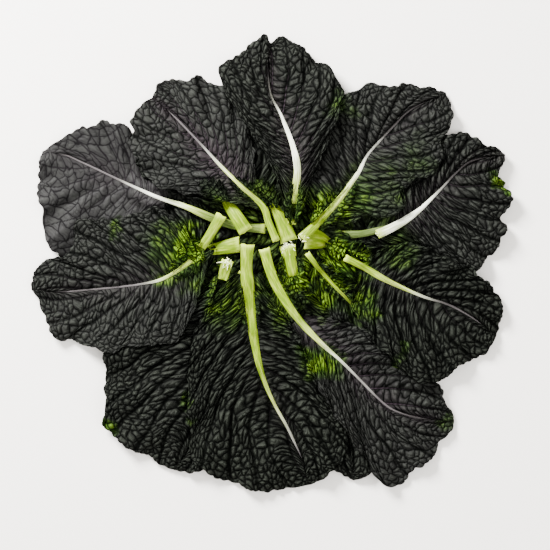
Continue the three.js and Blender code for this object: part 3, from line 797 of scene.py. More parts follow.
class GeometryGraph(Graph):
    """A Geometry Nodes tree whose inputs have names."""

    def __init__(self, name, inputs):
        super().__init__(bpy.data.node_groups.new(name, "GeometryNodeTree"))
        for label, kind in inputs:
            self.tree.interface.new_socket(label, in_out="INPUT", socket_type=kind)
        self.tree.interface.new_socket("Geometry", in_out="OUTPUT", socket_type="NodeSocketGeometry")
        self.given = self.tree.nodes.new("NodeGroupInput")

    def input(self, label):
        return Term(self, self.given.outputs[label])

    def attribute(self, name, kind="FLOAT"):
        settings = {"data_type": kind}
        return self.node("GeometryNodeInputNamedAttribute", settings, {"Name": name}, "Attribute")

    def end(self, geometry):
        whole = self.node("GeometryNodeRealizeInstances", {}, {"Geometry": geometry})
        painted = self.node(
            "GeometryNodeSetMaterial", {}, {"Geometry": whole, "Material": self.input("Material")}
        )
        out = self.tree.nodes.new("NodeGroupOutput")
        self.tree.links.new(painted.socket, out.inputs[0])
        return self.tree


def grown(name, mesh, tree, inputs):
    """The mesh that a Geometry Nodes tree makes from another."""
    carrier = bpy.data.objects.new(name, mesh)
    bpy.context.scene.collection.objects.link(carrier)
    modifier = carrier.modifiers.new("Shape", "NODES")
    modifier.node_group = tree
    for item in tree.interface.items_tree:
        if item.in_out == "INPUT" and item.name in inputs:
            modifier[item.identifier] = inputs[item.name]
    graph = bpy.context.evaluated_depsgraph_get()
    made = bpy.data.meshes.new_from_object(
        carrier.evaluated_get(graph), preserve_all_data_layers=True, depsgraph=graph
    )
    carrier.modifiers.remove(modifier)
    bpy.data.objects.remove(carrier)
    if not made.vertices:
        raise RuntimeError(f"{name} came out empty")
    made.name = name
    return made


def savoy_tree():
    """Puffs a blade up between its veins and crinkles it."""
    g = GeometryGraph("Savoy", (
        ("Geometry", "NodeSocketGeometry"), ("Blister Height", "NodeSocketFloat"),
        ("Vein Depth", "NodeSocketFloat"), ("Crinkle", "NodeSocketFloat"),
        ("Frill Height", "NodeSocketFloat"), ("Seed", "NodeSocketFloat"), ("Material", "NodeSocketMaterial"),
    ))
    place = g.attribute("vein_place", "FLOAT_VECTOR")
    shift = g.node("ShaderNodeCombineXYZ", {}, {0: g.input("Seed") * 13.7, 1: g.input("Seed") * 7.9})
    place = g.vectors("ADD", place, shift)
    place = g.wander(place, 0.55, 2.0, (1.5, 1.5, 1.5))
    place = g.wander(place, 0.17, 1.0, (1.0, 4.0, 0.0))
    cell = g.cells(place, 1.0)
    beads = g.cells(g.vectors("MULTIPLY", place, BEADS), 1.0)
    fine = g.ease(beads, 0.0, 0.35)
    dome = g.ease(cell, 0.0, 0.4) * (0.72 + 0.28 * fine)
    bank = g.ease(g.attribute("vein_gap"), 0.4 * MM, 4.6 * MM)
    uneven = g.ease(g.noise(place, 0.45), 0.3, 0.7, 0.55, 1.0)
    amount = g.attribute("savoy")
    swell = g.ease(g.noise(place, 0.9), 0.35, 0.65) * g.attribute("frill")
    relief = (dome * uneven * (0.4 + 0.6 * bank) * g.input("Blister Height")
              + fine * g.input("Crinkle") + bank * g.input("Vein Depth")
              + swell * g.input("Frill Height")) * amount
    offset = g.node("ShaderNodeCombineXYZ", {}, {2: relief})
    moved = g.node("GeometryNodeSetPosition", {}, {"Geometry": g.input("Geometry"), "Offset": offset})
    values = {"Geometry": moved, "Name": "net", "Value": place}
    moved = g.node("GeometryNodeStoreNamedAttribute", {"data_type": "FLOAT_VECTOR"}, values)
    return g.end(moved)


def fibre_tree():
    """Strews torn fibres over a small round patch."""
    g = GeometryGraph("Torn fibres", (
        ("Geometry", "NodeSocketGeometry"), ("Radius", "NodeSocketFloat"), ("Count", "NodeSocketFloat"),
        ("Fibre Length", "NodeSocketFloat"), ("Place", "NodeSocketVector"), ("Turn", "NodeSocketFloat"),
        ("Seed", "NodeSocketInt"), ("Material", "NodeSocketMaterial"),
    ))
    patch = g.node(
        "GeometryNodeMeshCircle", {"fill_type": "NGON"}, {"Vertices": 12, "Radius": g.input("Radius")}
    )
    density = g.input("Count") / (g.input("Radius") * g.input("Radius") * math.pi)
    spots = g.node(
        "GeometryNodeDistributePointsOnFaces", {},
        {"Mesh": patch, "Density": density, "Seed": g.input("Seed")}, "Points",
    )
    sliver = g.node(
        "GeometryNodeMeshCone", {}, {
            "Vertices": 4, "Radius Top": 0.0001, "Radius Bottom": 0.0006, "Depth": g.input("Fibre Length"),
        }, "Mesh",
    )
    lean = g.node(
        "FunctionNodeRandomValue", {"data_type": "FLOAT_VECTOR"},
        {"Min": (0.75, -0.3, -1.3), "Max": (1.6, 0.3, 1.3), "Seed": g.input("Seed")}, "Value",
    )
    size = g.node(
        "FunctionNodeRandomValue", {"data_type": "FLOAT"},
        {"Min_001": 0.5, "Max_001": 1.3, "Seed": g.input("Seed")}, "Value_001",
    )
    strewn = g.node(
        "GeometryNodeInstanceOnPoints", {},
        {"Points": spots, "Instance": sliver, "Rotation": lean, "Scale": size},
    )
    turn = g.node("ShaderNodeCombineXYZ", {}, {2: g.input("Turn")})
    placed = g.node(
        "GeometryNodeTransform", {}, {"Geometry": strewn, "Translation": g.input("Place"), "Rotation": turn}
    )
    return g.end(placed)


def new_material(name, roughness, specular=0.4):
    material = bpy.data.materials.new(name)
    material.use_nodes = True
    shader = material.node_tree.nodes["Principled BSDF"]
    shader.inputs["Roughness"].default_value = roughness
    shader.inputs["Specular IOR Level"].default_value = specular
    return material, Graph(material.node_tree), shader


def connect(graph, term, shader, name):
    graph.tree.links.new(term.socket, shader.inputs[name])


def fine_bump(graph, shader, height, distance, strength):
    values = {"Height": height, "Distance": distance, "Strength": strength}
    connect(graph, graph.node("ShaderNodeBump", {}, values), shader, "Normal")


def colour(red, green, blue):
    return (red, green, blue, 1.0)


def spot_near(graph, place, x, y, inner, outer):
    """1 within the inner radius of a point in plan, 0 beyond the outer one, in millimetres."""
    middle = (x * MM, y * MM, 0.0)
    flat = graph.vectors("MULTIPLY", place, (1.0, 1.0, 0.0))
    gap = graph.node("ShaderNodeVectorMath", {"operation": "DISTANCE"}, {0: flat, 1: middle}, "Value")
    return graph.ease(gap, inner * MM, outer * MM, 1.0, 0.0)


# Where dark blades are mottled with green: x, y, inner and outer radius in millimetres, strength
GREEN_PATCHES = (
    (139, 97, 2, 26, 0.35), (70, 150, 2, 20, 0.4), (46, -94, 8, 26, 0.95), (-149, 34, 1, 9, 0.6),
    (122, -90, 1, 10, 0.7), (86, -42, 8, 24, 0.7), (120, 14, 8, 28, 0.35), (-100, 14, 10, 30, 0.55),
    (-82, -132, 1, 8, 0.6), (-82, -150, 1, 8, 0.6), (219, 77, 3, 12, 1.0), (-160, -153, 4, 16, 1.0),
    (171, -150, 3, 14, 1.0), (20, 60, 10, 34, 0.35), (92, 68, 12, 44, 0.6),
    (-76, 12, 12, 30, 1.0), (-90, -4, 8, 26, 0.7), (-52, -18, 10, 38, 0.75), (-34, -40, 10, 40, 0.6),
    (2, -12, 12, 34, 0.9), (8, -38, 8, 34, 0.6), (32, -8, 10, 26, 1.0), (52, -34, 6, 26, 0.8),
    (72, 2, 12, 30, 1.0), (62, 24, 10, 22, 0.9), (52, 48, 12, 34, 0.9), (30, 46, 6, 22, 0.8),
    (-24, 44, 6, 26, 0.6), (-50, 56, 6, 26, 0.5), (-12, 66, 6, 30, 0.45),
)
HUB = (3, 16)  # the middle of the fan, in millimetres
BEADS = (2.7, 1.2, 1.0)  # small blisters to each cell of the net, along and across it


# Colours of a blade: painted shade for the creases between its blisters, then the lower parts of the
# blisters and the lighter colour that paints a highlight on their tops, mixed with random paler patches.
# The last of each is for a greyer leaf
CREASE_SHADE = ((0.0003, 0.0005, 0.0003), (0.0007, 0.0007, 0.0006), (0.0035, 0.0032, 0.0034))
LOW = ((0.0024, 0.0032, 0.002), (0.0165, 0.0155, 0.0158))
HIGHLIGHT_AND_PALE = ((0.0165, 0.0195, 0.014), (0.0225, 0.0215, 0.0218))
PURPLE_FLESH = (0.024, 0.0135, 0.02)
PURPLE_VEIN = (0.05, 0.034, 0.045)
# Green parts: painted shade for their creases, then the lower parts of their blisters and the lighter colour
# that paints a highlight on their tops, mixed with random paler patches
GREEN_CREASE_SHADE = (0.0012, 0.0034, 0.0004)
GREEN_LOW, GREEN_HIGHLIGHT_AND_PALE = (0.0055, 0.015, 0.0012), (0.036, 0.078, 0.007)
GREEN_BRIGHT = (0.1, 0.175, 0.009)
UNDERSIDE = (0.02, 0.026, 0.014)


def blade_relief(g, net, grain, vein, bloom):
    """How far a spot stands out of the creases, where painted shade goes, how much painted highlight its
    blister gets (partly random paler patches), and the height for the bump.
    """
    cell = g.cells(net, 1.0) + (grain - 0.5) * 0.08
    beads = g.cells(g.vectors("MULTIPLY", net, BEADS), 1.0)
    smooth = 1 - g.ease(g.noise(net, 1.6), 0.38, 0.6)
    plate = g.ease(cell, 0.0, 0.26 - 0.2 * bloom)
    small = g.ease(beads, 0.0, 0.16).most(smooth)
    bank = g.ease(vein, 0.0004, 0.0042 - 0.004 * bloom)
    # rise is 0 in the creases and along the sunken side veins, where the blade gets painted shade, and 1 on
    # the blisters
    rise = plate * (0.45 + 0.55 * small) * (0.1 + 0.9 * bank)
    # lit is highest at the middle of each blister, a painted highlight on its top, mixed with random paler
    # patches from noise
    lit = g.ease(cell, 0.05, 0.45) * 0.45 + g.ease(g.noise(net, 0.9), 0.35, 0.65) * 0.55
    knobs = g.ease(beads, 0.0, 0.35).most(smooth)
    return rise, lit, g.ease(cell, 0.0, 0.4) * (0.6 + 0.4 * knobs) * (0.4 + 0.6 * bank)


def dark_tone(g, rise, lit, bloom, mottle):
    """The tone of a blade with no green or purple in it, with painted shade in its creases and a painted
    highlight on its blister tops.
    """
    # Painted shade in the creases, greyer on greyer leaves
    crease_shade = g.blend(mottle, colour(*CREASE_SHADE[0]), colour(*CREASE_SHADE[1]))
    crease_shade = g.blend(g.ease(bloom, 0.5, 0.8), crease_shade, colour(*CREASE_SHADE[2]))
    # The lighter end of each blister's colour is a painted highlight on its top, mixed with random paler
    # patches
    low, high = (g.blend(bloom, colour(*dark), colour(*grey)) for dark, grey in (LOW, HIGHLIGHT_AND_PALE))
    return g.blend(rise, crease_shade, g.blend(lit, low, high))


def purple_tone(g, tone, rise, vein, mottle):
    """A tone with purple flesh near the midrib and purple side veins."""
    purple, rib_gap = g.stored("purple"), g.stored("rib_gap")
    tint = g.ease(rib_gap, 0.003, 0.03, 1.0, 0.0) * purple * (0.4 + 0.6 * g.ease(mottle, 0.35, 0.6))
    tone = g.blend(tint * 0.45 * rise, tone, colour(*PURPLE_FLESH))
    line = g.ease(vein, 0.0001, 0.0007, 1.0, 0.0) * g.ease(rib_gap, 0.004, 0.05, 0.8, 0.0)
    return g.blend(line * purple, tone, colour(*PURPLE_VEIN))


def green_tone(g, tone, place, rise, lit, mottle):
    """A tone that turns green round the middle of the fan and in the patches, with painted shade in its
    creases and a painted highlight on its blister tops.
    """
    strayed = g.wander(place, 45.0, 3.0, (0.05, 0.05, 0.05))
    green = spot_near(g, strayed, *HUB, 20, 50) * 0.4
    mottled = g.ease(mottle, 0.36, 0.6, 0.25, 1.0)
    for x, y, inner, outer, strength in GREEN_PATCHES:
        green = green.most(spot_near(g, strayed, x, y, inner, outer) * strength * mottled)
    # Lighter green on the blister tops is a painted highlight, mixed with random paler patches
    fresh = g.blend(lit, colour(*GREEN_LOW), colour(*GREEN_HIGHLIGHT_AND_PALE))
    bright = g.ease(g.noise(place, 55.0, 2.0), 0.42, 0.58) * green
    fresh = g.blend(bright * rise, fresh, colour(*GREEN_BRIGHT))
    # Painted shade in the creases of the green parts
    return g.blend(green, tone, g.blend(rise, colour(*GREEN_CREASE_SHADE), fresh))


def blade_material():
    material, g, shader = new_material("Blade", 0.5, 0.012)
    place, net = g.object_place(), g.stored("net", "Vector")
    vein, bloom = g.stored("vein_gap"), g.stored("bloom")
    mottle, grain = g.noise(place, 26.0, 4.0, 0.6), g.noise(place, 260.0, 3.0, 0.6)
    rise, lit, height = blade_relief(g, net, grain, vein, bloom)
    tone = dark_tone(g, rise, lit, bloom, mottle)
    tone = purple_tone(g, tone, rise, vein, mottle)
    tone = green_tone(g, tone, place, rise, lit, mottle)
    facing = g.node("ShaderNodeNewGeometry", {}, {}, "Normal")
    down = g.ease(g.node("ShaderNodeSeparateXYZ", {}, {0: facing}, "Z"), -0.5, 0.1, 1.0, 0.0)
    connect(g, g.blend(down * 0.7, tone, colour(*UNDERSIDE)), shader, "Base Color")
    connect(g, g.ease(rise, 0.0, 1.0, 0.65, 0.42), shader, "Roughness")
    height = height * g.stored("savoy").least(1.0) * (1.15 - bloom).most(0.1).least(1.0) + 0.1 * grain
    fine_bump(g, shader, height, 0.003, 0.85)
    return material


def stalk_material():
    material, g, shader = new_material("Stalk", 0.45, 0.06)
    place = g.object_place()
    width, around, cut = g.stored("width"), g.stored("around"), g.stored("cut")
    streak = {0: around * 8.0, 1: g.stored("distance") * 0.7, 2: g.stored("order")}
    streak = g.node("ShaderNodeCombineXYZ", {}, streak)
    streaks = g.ease(g.noise(streak, 1.0, 3.0, 0.6), 0.3, 0.7)
    near = g.blend(streaks, colour(0.078, 0.14, 0.0005), colour(0.17, 0.235, 0.001))
    mid = g.blend(streaks, colour(0.2, 0.27, 0.035), colour(0.44, 0.49, 0.14))
    far = g.blend(streaks, colour(0.5, 0.51, 0.4), colour(0.88, 0.89, 0.78))
    pale = (g.stored("pale") + (streaks - 0.5) * 0.25).most(0.0).least(1.0)
    tone = g.blend((pale * 2).least(1.0), near, g.blend((pale * 2 - 1).most(0.0), mid, far))
    # Stalks with dull set are a darker green from the cut end, fading out between 45 and 80 mm
    darker_near_cut = g.blend(streaks, colour(0.03, 0.05, 0.008), colour(0.09, 0.12, 0.035))
    tone = g.blend(g.stored("dull"), tone, darker_near_cut)
    # Painted shade: the rounded sides of each stalk are painted a darker green, less on the white part,
    # where they turn from the light
    edge = g.ease(around * around, 0.1, 0.25) * (1 - 0.6 * pale)
    tone = g.blend(edge * 0.4, tone, colour(0.05, 0.085, 0.006))
    thin = g.ease(width, 0.0018, 0.0036, 1.0, 0.0)
    tone = g.blend(thin * 0.95, tone, colour(0.032, 0.024, 0.03))
    tone = g.blend(cut, tone, colour(0.36, 0.46, 0.05))
    connect(g, tone, shader, "Base Color")
    fine_bump(g, shader, streaks + 0.3 * g.noise(place, 400.0, 2.0), 0.0005, 0.4)
    return material


def torn_material():
    material, g, shader = new_material("Torn fibre", 0.6, 0.3)
    place = g.object_place()
    tone = g.blend(g.noise(place, 300.0), colour(0.6, 0.66, 0.25), colour(0.9, 0.9, 0.68))
    connect(g, tone, shader, "Base Color")
    return material


def table_material():
    material, g, shader = new_material("Table", 0.8, 0.2)
    place = g.object_place()
    cloud = g.noise(place, 9.0, 4.0, 0.6)
    connect(g, g.blend(cloud, colour(0.85, 0.82, 0.765), colour(0.89, 0.86, 0.81)), shader, "Base Color")
    return material


def covers(sheets, ways):
    """For each leaf, how deep each of its points lies inside the leaves above, from 0 to 1."""
    mask = Ground()
    found = {}
    for name in reversed(list(sheets)):
        sheet, way = sheets[name], ways[name]
        soft = Ground()
        soft.values = mellow(mask.values, 3)
        found[name] = ease(soft.read(sheet.spots), 0.5, 0.95)
        mask.raise_to(sheet.spots, np.ones(sheet.base.shape))
        mask.raise_to(way.spots, np.ones(way.spots.shape[:-1]))
    return found


class Rod:
    """The stalk and midrib of one leaf as rings of points, before and after it is laid."""

    ROUND = 18  # points round a ring
    STEP = 2.4
    FLARE = 0.16  # how much wider the cut end is
    FLARE_LENGTH = 5
    CROWN = 0.17  # height of the rounded top, of the width
    RIDGE = 0.03
    SUNK = 0.9  # depth below the blade where the blade grows over the stalk
    UNDER = 0.9  # of the depth that the solid stalk has
    RAGGED = 1.6  # how far the points of a cut end stand out
    DULL_FROM = 45
    DULL_TO = 80
    GREEN_BEFORE = 45
    WHITE_AFTER = 50

    def __init__(self, plan):
        self.plan = plan
        count = round(plan.rib_end / self.STEP)
        self.distance = np.linspace(0, plan.rib_end, count + 1)
        centre = plan.line.at(self.distance)
        across = left_of(plan.line.onward(self.distance))
        wobble = 1 + 0.05 * np.sin(self.distance / 11 + plan.phase) + 0.03 * np.sin(self.distance / 4.3)
        flare = 1 + self.FLARE * np.exp(-self.distance / self.FLARE_LENGTH)
        self.width = plan.seen_width(self.distance) * wobble * flare
        half = self.ROUND // 2
        angle = math.pi * np.arange(half + 1) / half
        aside = np.cos(angle) / 2
        self.aside = np.concatenate((aside, aside[1:-1][::-1]))
        crown = 1 - (2 * self.aside) ** 2
        on_top = np.arange(len(self.aside)) <= half
        ridges = self.RIDGE * np.cos(math.pi * 7 * self.aside) * crown
        self.spots = centre[:, None] + (self.width[:, None] * self.aside)[..., None] * across[:, None]
        base = plan.rib_height(self.distance)[:, None]
        proud = STALK_PROUD + self.width[:, None] * (self.CROWN * crown + ridges)
        hidden = plan.hidden(self.distance)[:, None]
        top = base + proud * (1 - hidden) - self.SUNK * hidden
        depth = self.UNDER * (STALK_DEPTH * self.width + BLADE_THICKNESS)[:, None]
        under = base + STALK_PROUD * (1 - crown) - depth * np.sqrt(crown)
        self.z = np.where(on_top, top, under)
        self.lift = np.zeros(count + 1)

    def mesh(self, name):
        leaf = self.plan.leaf
        rough = np.random.default_rng(len(name) + round(self.plan.phase * 100))
        n = len(self.aside)
        points = np.concatenate((self.spots, (self.z + self.lift[:, None])[..., None]), -1)
        start = points[0].copy()
        onward = self.plan.line.onward(np.array(0.0))
        start[:, :2] -= onward * rough.uniform(0.0, self.RAGGED, n)[:, None]
        points[0] = start
        middle = points[0].mean(0)
        middle[:2] += onward * 0.6
        tip = points[-1].mean(0)
        flat = np.concatenate((points.reshape(-1, 3), [middle, tip]))
        rings = np.arange(len(points) * n).reshape(len(points), n)
        a, b = rings[:-1], np.roll(rings[:-1], -1, 1)
        c, d = np.roll(rings[1:], -1, 1), rings[1:]
        side = np.concatenate([np.stack(corner, -1).reshape(-1, 3) for corner in ((a, b, c), (a, c, d))])
        ends = []
        for ring, centre, turn in ((rings[0], len(flat) - 2, -1), (rings[-1], len(flat) - 1, 1)):
            cap = np.stack((ring, np.roll(ring, -1), np.full(n, centre)), -1)
            ends.append(cap[:, ::turn])
        mesh = new_mesh(name, flat * MM, np.concatenate((side, *ends)))
        hub = np.hypot(*(self.plan.line.at(self.distance) - np.array(HUB)).T)
        cut = np.zeros(len(self.distance))
        cut[:2] = (1, 0.3)
        by_ring = {
            "distance": self.distance / 10, "width": self.width * MM, "cut": cut,
            "pale": ease(hub, leaf.green_to - self.GREEN_BEFORE, leaf.green_to + self.WHITE_AFTER),
            "dull": leaf.dull * (1 - ease(self.distance, self.DULL_FROM, self.DULL_TO)),
        }
        for label, values in by_ring.items():
            add_attribute(mesh, label, np.concatenate((np.repeat(values, n), [values[0], values[-1]])))
        add_attribute(mesh, "around", np.concatenate((np.tile(self.aside, len(points)), [0, 0])))
        add_attribute(mesh, "order", np.full(len(flat), self.plan.phase))
        return mesh


class Fan:
    """All the leaves, laid out once and shared by the operators."""

    MAIN_ROWS = 14  # leaves whose solids have more rows than this show nearly whole
    QUICK_STEP = 1.6
    FRILL_FROM = 38
    FRILL_TO = 78

    def __init__(self, settings):
        self.plans = {leaf.name: Plan(leaf, k) for k, leaf in enumerate(LEAVES)}
        self.sheets, self.rods = {}, {}
        for name, plan in self.plans.items():
            main = plan.leaf.rows > self.MAIN_ROWS
            step = (settings.blade_step if main else settings.inner_step) / MM
            self.sheets[name] = Sheet(plan, step * (1))
            self.rods[name] = Rod(plan)
        self.cover = covers(self.sheets, self.rods)
        self.ground = Ground()

    def blade_mesh(self, name, settings):
        """The blade's sheet before it is puffed up."""
        sheet, plan = self.sheets[name], self.plans[name]
        bare = 1 - self.cover[name]
        top = sheet.base + bare * sheet.ruffle * settings.frill / MM
        count = top.size
        upper = np.concatenate((sheet.spots, top[..., None]), -1).reshape(-1, 3)
        lower = upper - (0, 0, settings.thickness / MM)
        mesh = new_mesh(name, np.concatenate((upper, lower)) * MM, closed_sheet(sheet.faces(), count))
        distance = plan.station(np.linspace(0, 1, sheet.count + 1))
        near_rib = 0.3 * plan.seen_width(distance)[:, None]
        flank = np.maximum(ease(sheet.rib_gap, near_rib, near_rib + 6), plan.hidden(distance)[:, None])
        rim = 1 - 0.35 * ease(sheet.out, 0.93, 1)
        savoy = plan.leaf.savoy * bare * flank * rim
        to_hub = np.hypot(*np.moveaxis(sheet.spots - np.array(HUB), -1, 0))
        fields = {
            "savoy": savoy, "vein_gap": sheet.vein_gap * MM, "rib_gap": sheet.rib_gap * MM,
            "frill": 1 - ease(to_hub, self.FRILL_FROM, self.FRILL_TO),
            "bloom": np.full(top.shape, plan.leaf.bloom), "purple": np.full(top.shape, plan.leaf.purple),
        }
        for label, values in fields.items():
            add_attribute(mesh, label, np.tile(values.ravel(), 2))
        add_attribute(mesh, "vein_place", np.tile(sheet.vein_place.reshape(-1, 3), (2, 1)))
        return mesh

    def held(self, spots, gap):
        """Height at which something may lie on the heap, and 0 on the bare table."""
        top = self.ground.read(spots)
        return np.where(top > 0, top + gap, 0)

    def lay(self, name, mesh, settings):
        """Lifts the finished blade and its stalk clear of the leaves below, then adds them to the heap."""
        sheet, rod, plan = self.sheets[name], self.rods[name], self.plans[name]
        flat = np.empty(len(mesh.vertices) * 3, np.float32)
        mesh.vertices.foreach_get("co", flat)
        points = flat.reshape(-1, 3).astype(float) / MM
        count = sheet.base.size
        under = points[count:, 2][sheet.order]
        gap = settings.gap / MM
        need = np.maximum(0, self.held(sheet.spots, gap) - under)
        rod_need = np.maximum(0, self.held(rod.spots, gap) - rod.z).max(1)
        lift = mellow(widest(need, 2), 2)
        place = plan.station(np.linspace(0, 1, sheet.count + 1))
        middle = lift[:, sheet.middle - 3:sheet.middle + 3].max(1)
        on_rod = np.interp(rod.distance, place, middle, left=0)
        rod.lift = mellow(widest(np.maximum(rod_need, on_rod), 3), 3)
        wanted = np.interp(place, rod.distance, rod.lift)
        share = 1 - ease(sheet.rib_gap, 2, 16)
        lift = np.maximum(lift, wanted[:, None] * share + lift * (1 - share))
        lift = mellow(lift, 1)
        rise = np.zeros(count)
        rise[sheet.order.ravel()] = lift.ravel()
        points[:, 2] += np.tile(rise, 2)
        points[:, 2] = np.maximum(points[:, 2], np.repeat((settings.thickness / MM, 0), count))
        mesh.vertices.foreach_set("co", (points * MM).astype(np.float32).ravel())
        mesh.update()
        self.ground.raise_to(sheet.spots, points[:count, 2][sheet.order])
        self.ground.raise_to(rod.spots, rod.z + rod.lift[:, None])

    def settle(self):
        """Keeps a smoothed map of the heap once all the leaves are laid."""
        self.heap = Ground()
        self.heap.values = mellow(widest(self.ground.values, 1), 1)

    def other_rods(self, name):
        """A map that is 1 where a stalk of another leaf shows."""
        mask = Ground()
        for other, rod in self.rods.items():
            if other != name:
                shown = self.plans[other].hidden(rod.distance) < 0.5
                mask.raise_to(rod.spots[shown], np.ones(rod.spots[shown].shape[:-1]))
        return mask


fan = {}


class Curl:
    """A ruffled strip of young blade that stands up from the side of a stalk."""

    STEP = 1.1
    ACROSS = 7  # points from the stalk to the free edge
    RUFFLE = 6.1
    SMALL_RUFFLE = 2.9
    SWAY = 2.3
    CLEAR = 0.3
    LOOKS = (("savoy", 0.5), ("vein_gap", 0.01), ("bloom", 0.0), ("purple", 0.0), ("rib_gap", 0.05))

    def __init__(self, leaf, sign, start, end, reach, rise, foot=0.42):
        self.leaf, self.sign, self.foot = leaf, sign, foot
        self.start, self.end, self.reach, self.rise = start, end, reach, rise

    def mesh(self, name, laid, settings):
        plan, rod = laid.plans[self.leaf], laid.rods[self.leaf]
        steps = round((self.end - self.start) / self.STEP)
        s = np.linspace(self.start, self.end, steps + 1)
        t = np.linspace(0, 1, self.ACROSS)
        share = (s - self.start) / (self.end - self.start)
        swell = (np.sin(math.pi * np.clip(share, 0, 1)) ** 0.5)[:, None]
        phase = plan.phase + self.sign
        turn = (2 * math.pi * (s / self.RUFFLE + 0.35 * np.sin(s / 5.3 + phase)) + phase)[:, None]
        small = (2 * math.pi * s / self.SMALL_RUFFLE + 2 * phase)[:, None]
        onward = plan.line.onward(s)
        across = left_of(onward) * self.sign
        foot = self.foot * plan.seen_width(s)[:, None]
        aside = foot + swell * (self.reach * t * (0.75 + 0.25 * np.cos(turn)) + 0.9 * t**2 * np.sin(small))
        ahead = swell * t**1.5 * self.SWAY * np.sin(turn + 1.2)
        spots = plan.line.at(s)[:, None] + aside[..., None] * across[:, None]
        spots = spots + ahead[..., None] * onward[:, None]
        lift = np.interp(s, rod.distance, rod.lift)
        floor = (plan.rib_height(s) + lift)[:, None]
        floor = np.maximum(floor, laid.heap.read(spots) + settings.gap / MM)
        z = floor + self.CLEAR + swell * t * self.rise * (0.5 + 0.5 * np.sin(turn))
        z = z + 0.5 * swell * t * np.sin(small)
        clear = laid.other_rods(self.leaf).read(spots) < 0.5
        count = z.size
        order = np.arange(count).reshape(z.shape)
        a, b, c, d = order[:-1, :-1], order[:-1, 1:], order[1:, 1:], order[1:, :-1]
        corners = ((a, c, b), (a, d, c)) if self.sign > 0 else ((a, b, c), (a, c, d))
        faces = np.concatenate([np.stack(k, -1).reshape(-1, 3) for k in corners])
        faces = faces[clear.ravel()[faces].all(1)]
        upper = np.concatenate((spots, z[..., None]), -1).reshape(-1, 3)
        lower = upper - (0, 0, settings.thickness / MM)
        used, faces = np.unique(closed_sheet(faces, count), return_inverse=True)
        points = np.concatenate((upper, lower))[used]
        mesh = new_mesh(name, points * MM, faces.reshape(-1, 3))
        net = np.stack((np.broadcast_to(t * 2.2, z.shape), np.broadcast_to(s[:, None] / 4.2, z.shape),
                        np.zeros(z.shape)), -1).reshape(-1, 3)
        add_attribute(mesh, "net", np.tile(net, (2, 1))[used])
        for label, value in self.LOOKS:
            add_attribute(mesh, label, np.full(len(points), value))
        return mesh


# Leaf, side, start and end along its stalk, reach and rise in millimetres. Some have the share of the
# stalk's width at which the strip starts
CURLS = (
    Curl("west_inner", 1, 24, 58, 12, 6, 0.05), Curl("west_inner", -1, 22, 60, 12, 6, 0.05),
    Curl("south_inner", 1, 10, 30, 8, 5), Curl("south_inner", -1, 8, 30, 8, 5),
    Curl("south_inner", 1, 28, 62, 12, 6, 0.05), Curl("south_inner", -1, 28, 60, 12, 6, 0.05),
    Curl("south_east_inner", 1, 12, 62, 9, 6), Curl("south_east_inner", -1, 20, 56, 7, 5),
    Curl("east_inner", 1, 20, 66, 14, 7, 0.05), Curl("east_inner", -1, 18, 64, 14, 7, 0.05),
    Curl("north_west_inner", 1, 34, 66, 11, 5, 0.05), Curl("north_west_inner", -1, 32, 64, 11, 5, 0.05),
    Curl("north_inner", 1, 34, 66, 11, 5, 0.05), Curl("north_inner", -1, 32, 66, 11, 5, 0.05),
    Curl("north_inner", -1, 12, 32, 6, 5), Curl("south", -1, 28, 80, 7, 4),
    Curl("south", 1, 44, 80, 5, 3), Curl("south_east", 1, 24, 70, 4, 3),
    Curl("north_west", -1, 30, 74, 7, 4), Curl("north_west", 1, 44, 78, 6, 4),
    Curl("north_east", 1, 14, 66, 10, 5), Curl("north_east", -1, 18, 74, 11, 5),
    Curl("west", 1, 38, 74, 9, 5), Curl("west", -1, 30, 78, 10, 5), Curl("north", 1, 0, 38, 8, 4, 0.3),
    Curl("north", -1, 0, 38, 8, 4, 0.3), Curl("south_west", -1, 14, 50, 8, 4),
    Curl("south_west", 1, 16, 50, 8, 4),
)


class GREENS_OT_blades(bpy.types.Operator):
    """Lay the nineteen dark, crinkled blades, from the lowest to the topmost"""

    bl_idname = "greens.blades"
    bl_label = "Blades"

    def execute(self, context):
        settings = context.scene.greens_leaves
        laid = Fan(settings)
        tree, material = savoy_tree(), blade_material()
        for order, leaf in enumerate(LEAVES):
            name = leaf.name + "_leaf"
            inputs = {
                "Blister Height": settings.blister, "Vein Depth": settings.vein_depth,
                "Crinkle": settings.crinkle, "Frill Height": settings.hub_frill,
                "Seed": float(settings.seed + order), "Material": material,
            }
            mesh = grown(name, laid.blade_mesh(leaf.name, settings), tree, inputs)
            laid.lay(leaf.name, mesh, settings)
            piece(name, mesh, leaf.name + "_blade")
        laid.settle()
        fan["laid"] = laid
        return {"FINISHED"}


class GREENS_OT_curls(bpy.types.Operator):
    """Add the curled young strips of blade along the stalks in the middle. The blades are laid first"""

    bl_idname = "greens.curls"
    bl_label = "Curls"

    def execute(self, context):
        settings = context.scene.greens_leaves
        laid = fan["laid"]
        material = bpy.data.materials["Blade"]
        for number, curl in enumerate(CURLS):
            name = f"{curl.leaf}_curl_{number}"
            mesh = curl.mesh(name, laid, settings)
            mesh.materials.append(material)
            piece(name, mesh, curl.leaf + "_blade")
        return {"FINISHED"}


class GREENS_OT_stalks(bpy.types.Operator):
    """Add the pale stalks, which run on as midribs. The blades are laid first"""

    bl_idname = "greens.stalks"
    bl_label = "Stalks"

    def execute(self, context):
        material = stalk_material()
        for leaf in LEAVES:
            mesh = fan["laid"].rods[leaf.name].mesh(leaf.name + "_rib")
            mesh.materials.append(material)
            piece(leaf.name + "_rib", mesh, leaf.name + "_stalk")
        return {"FINISHED"}


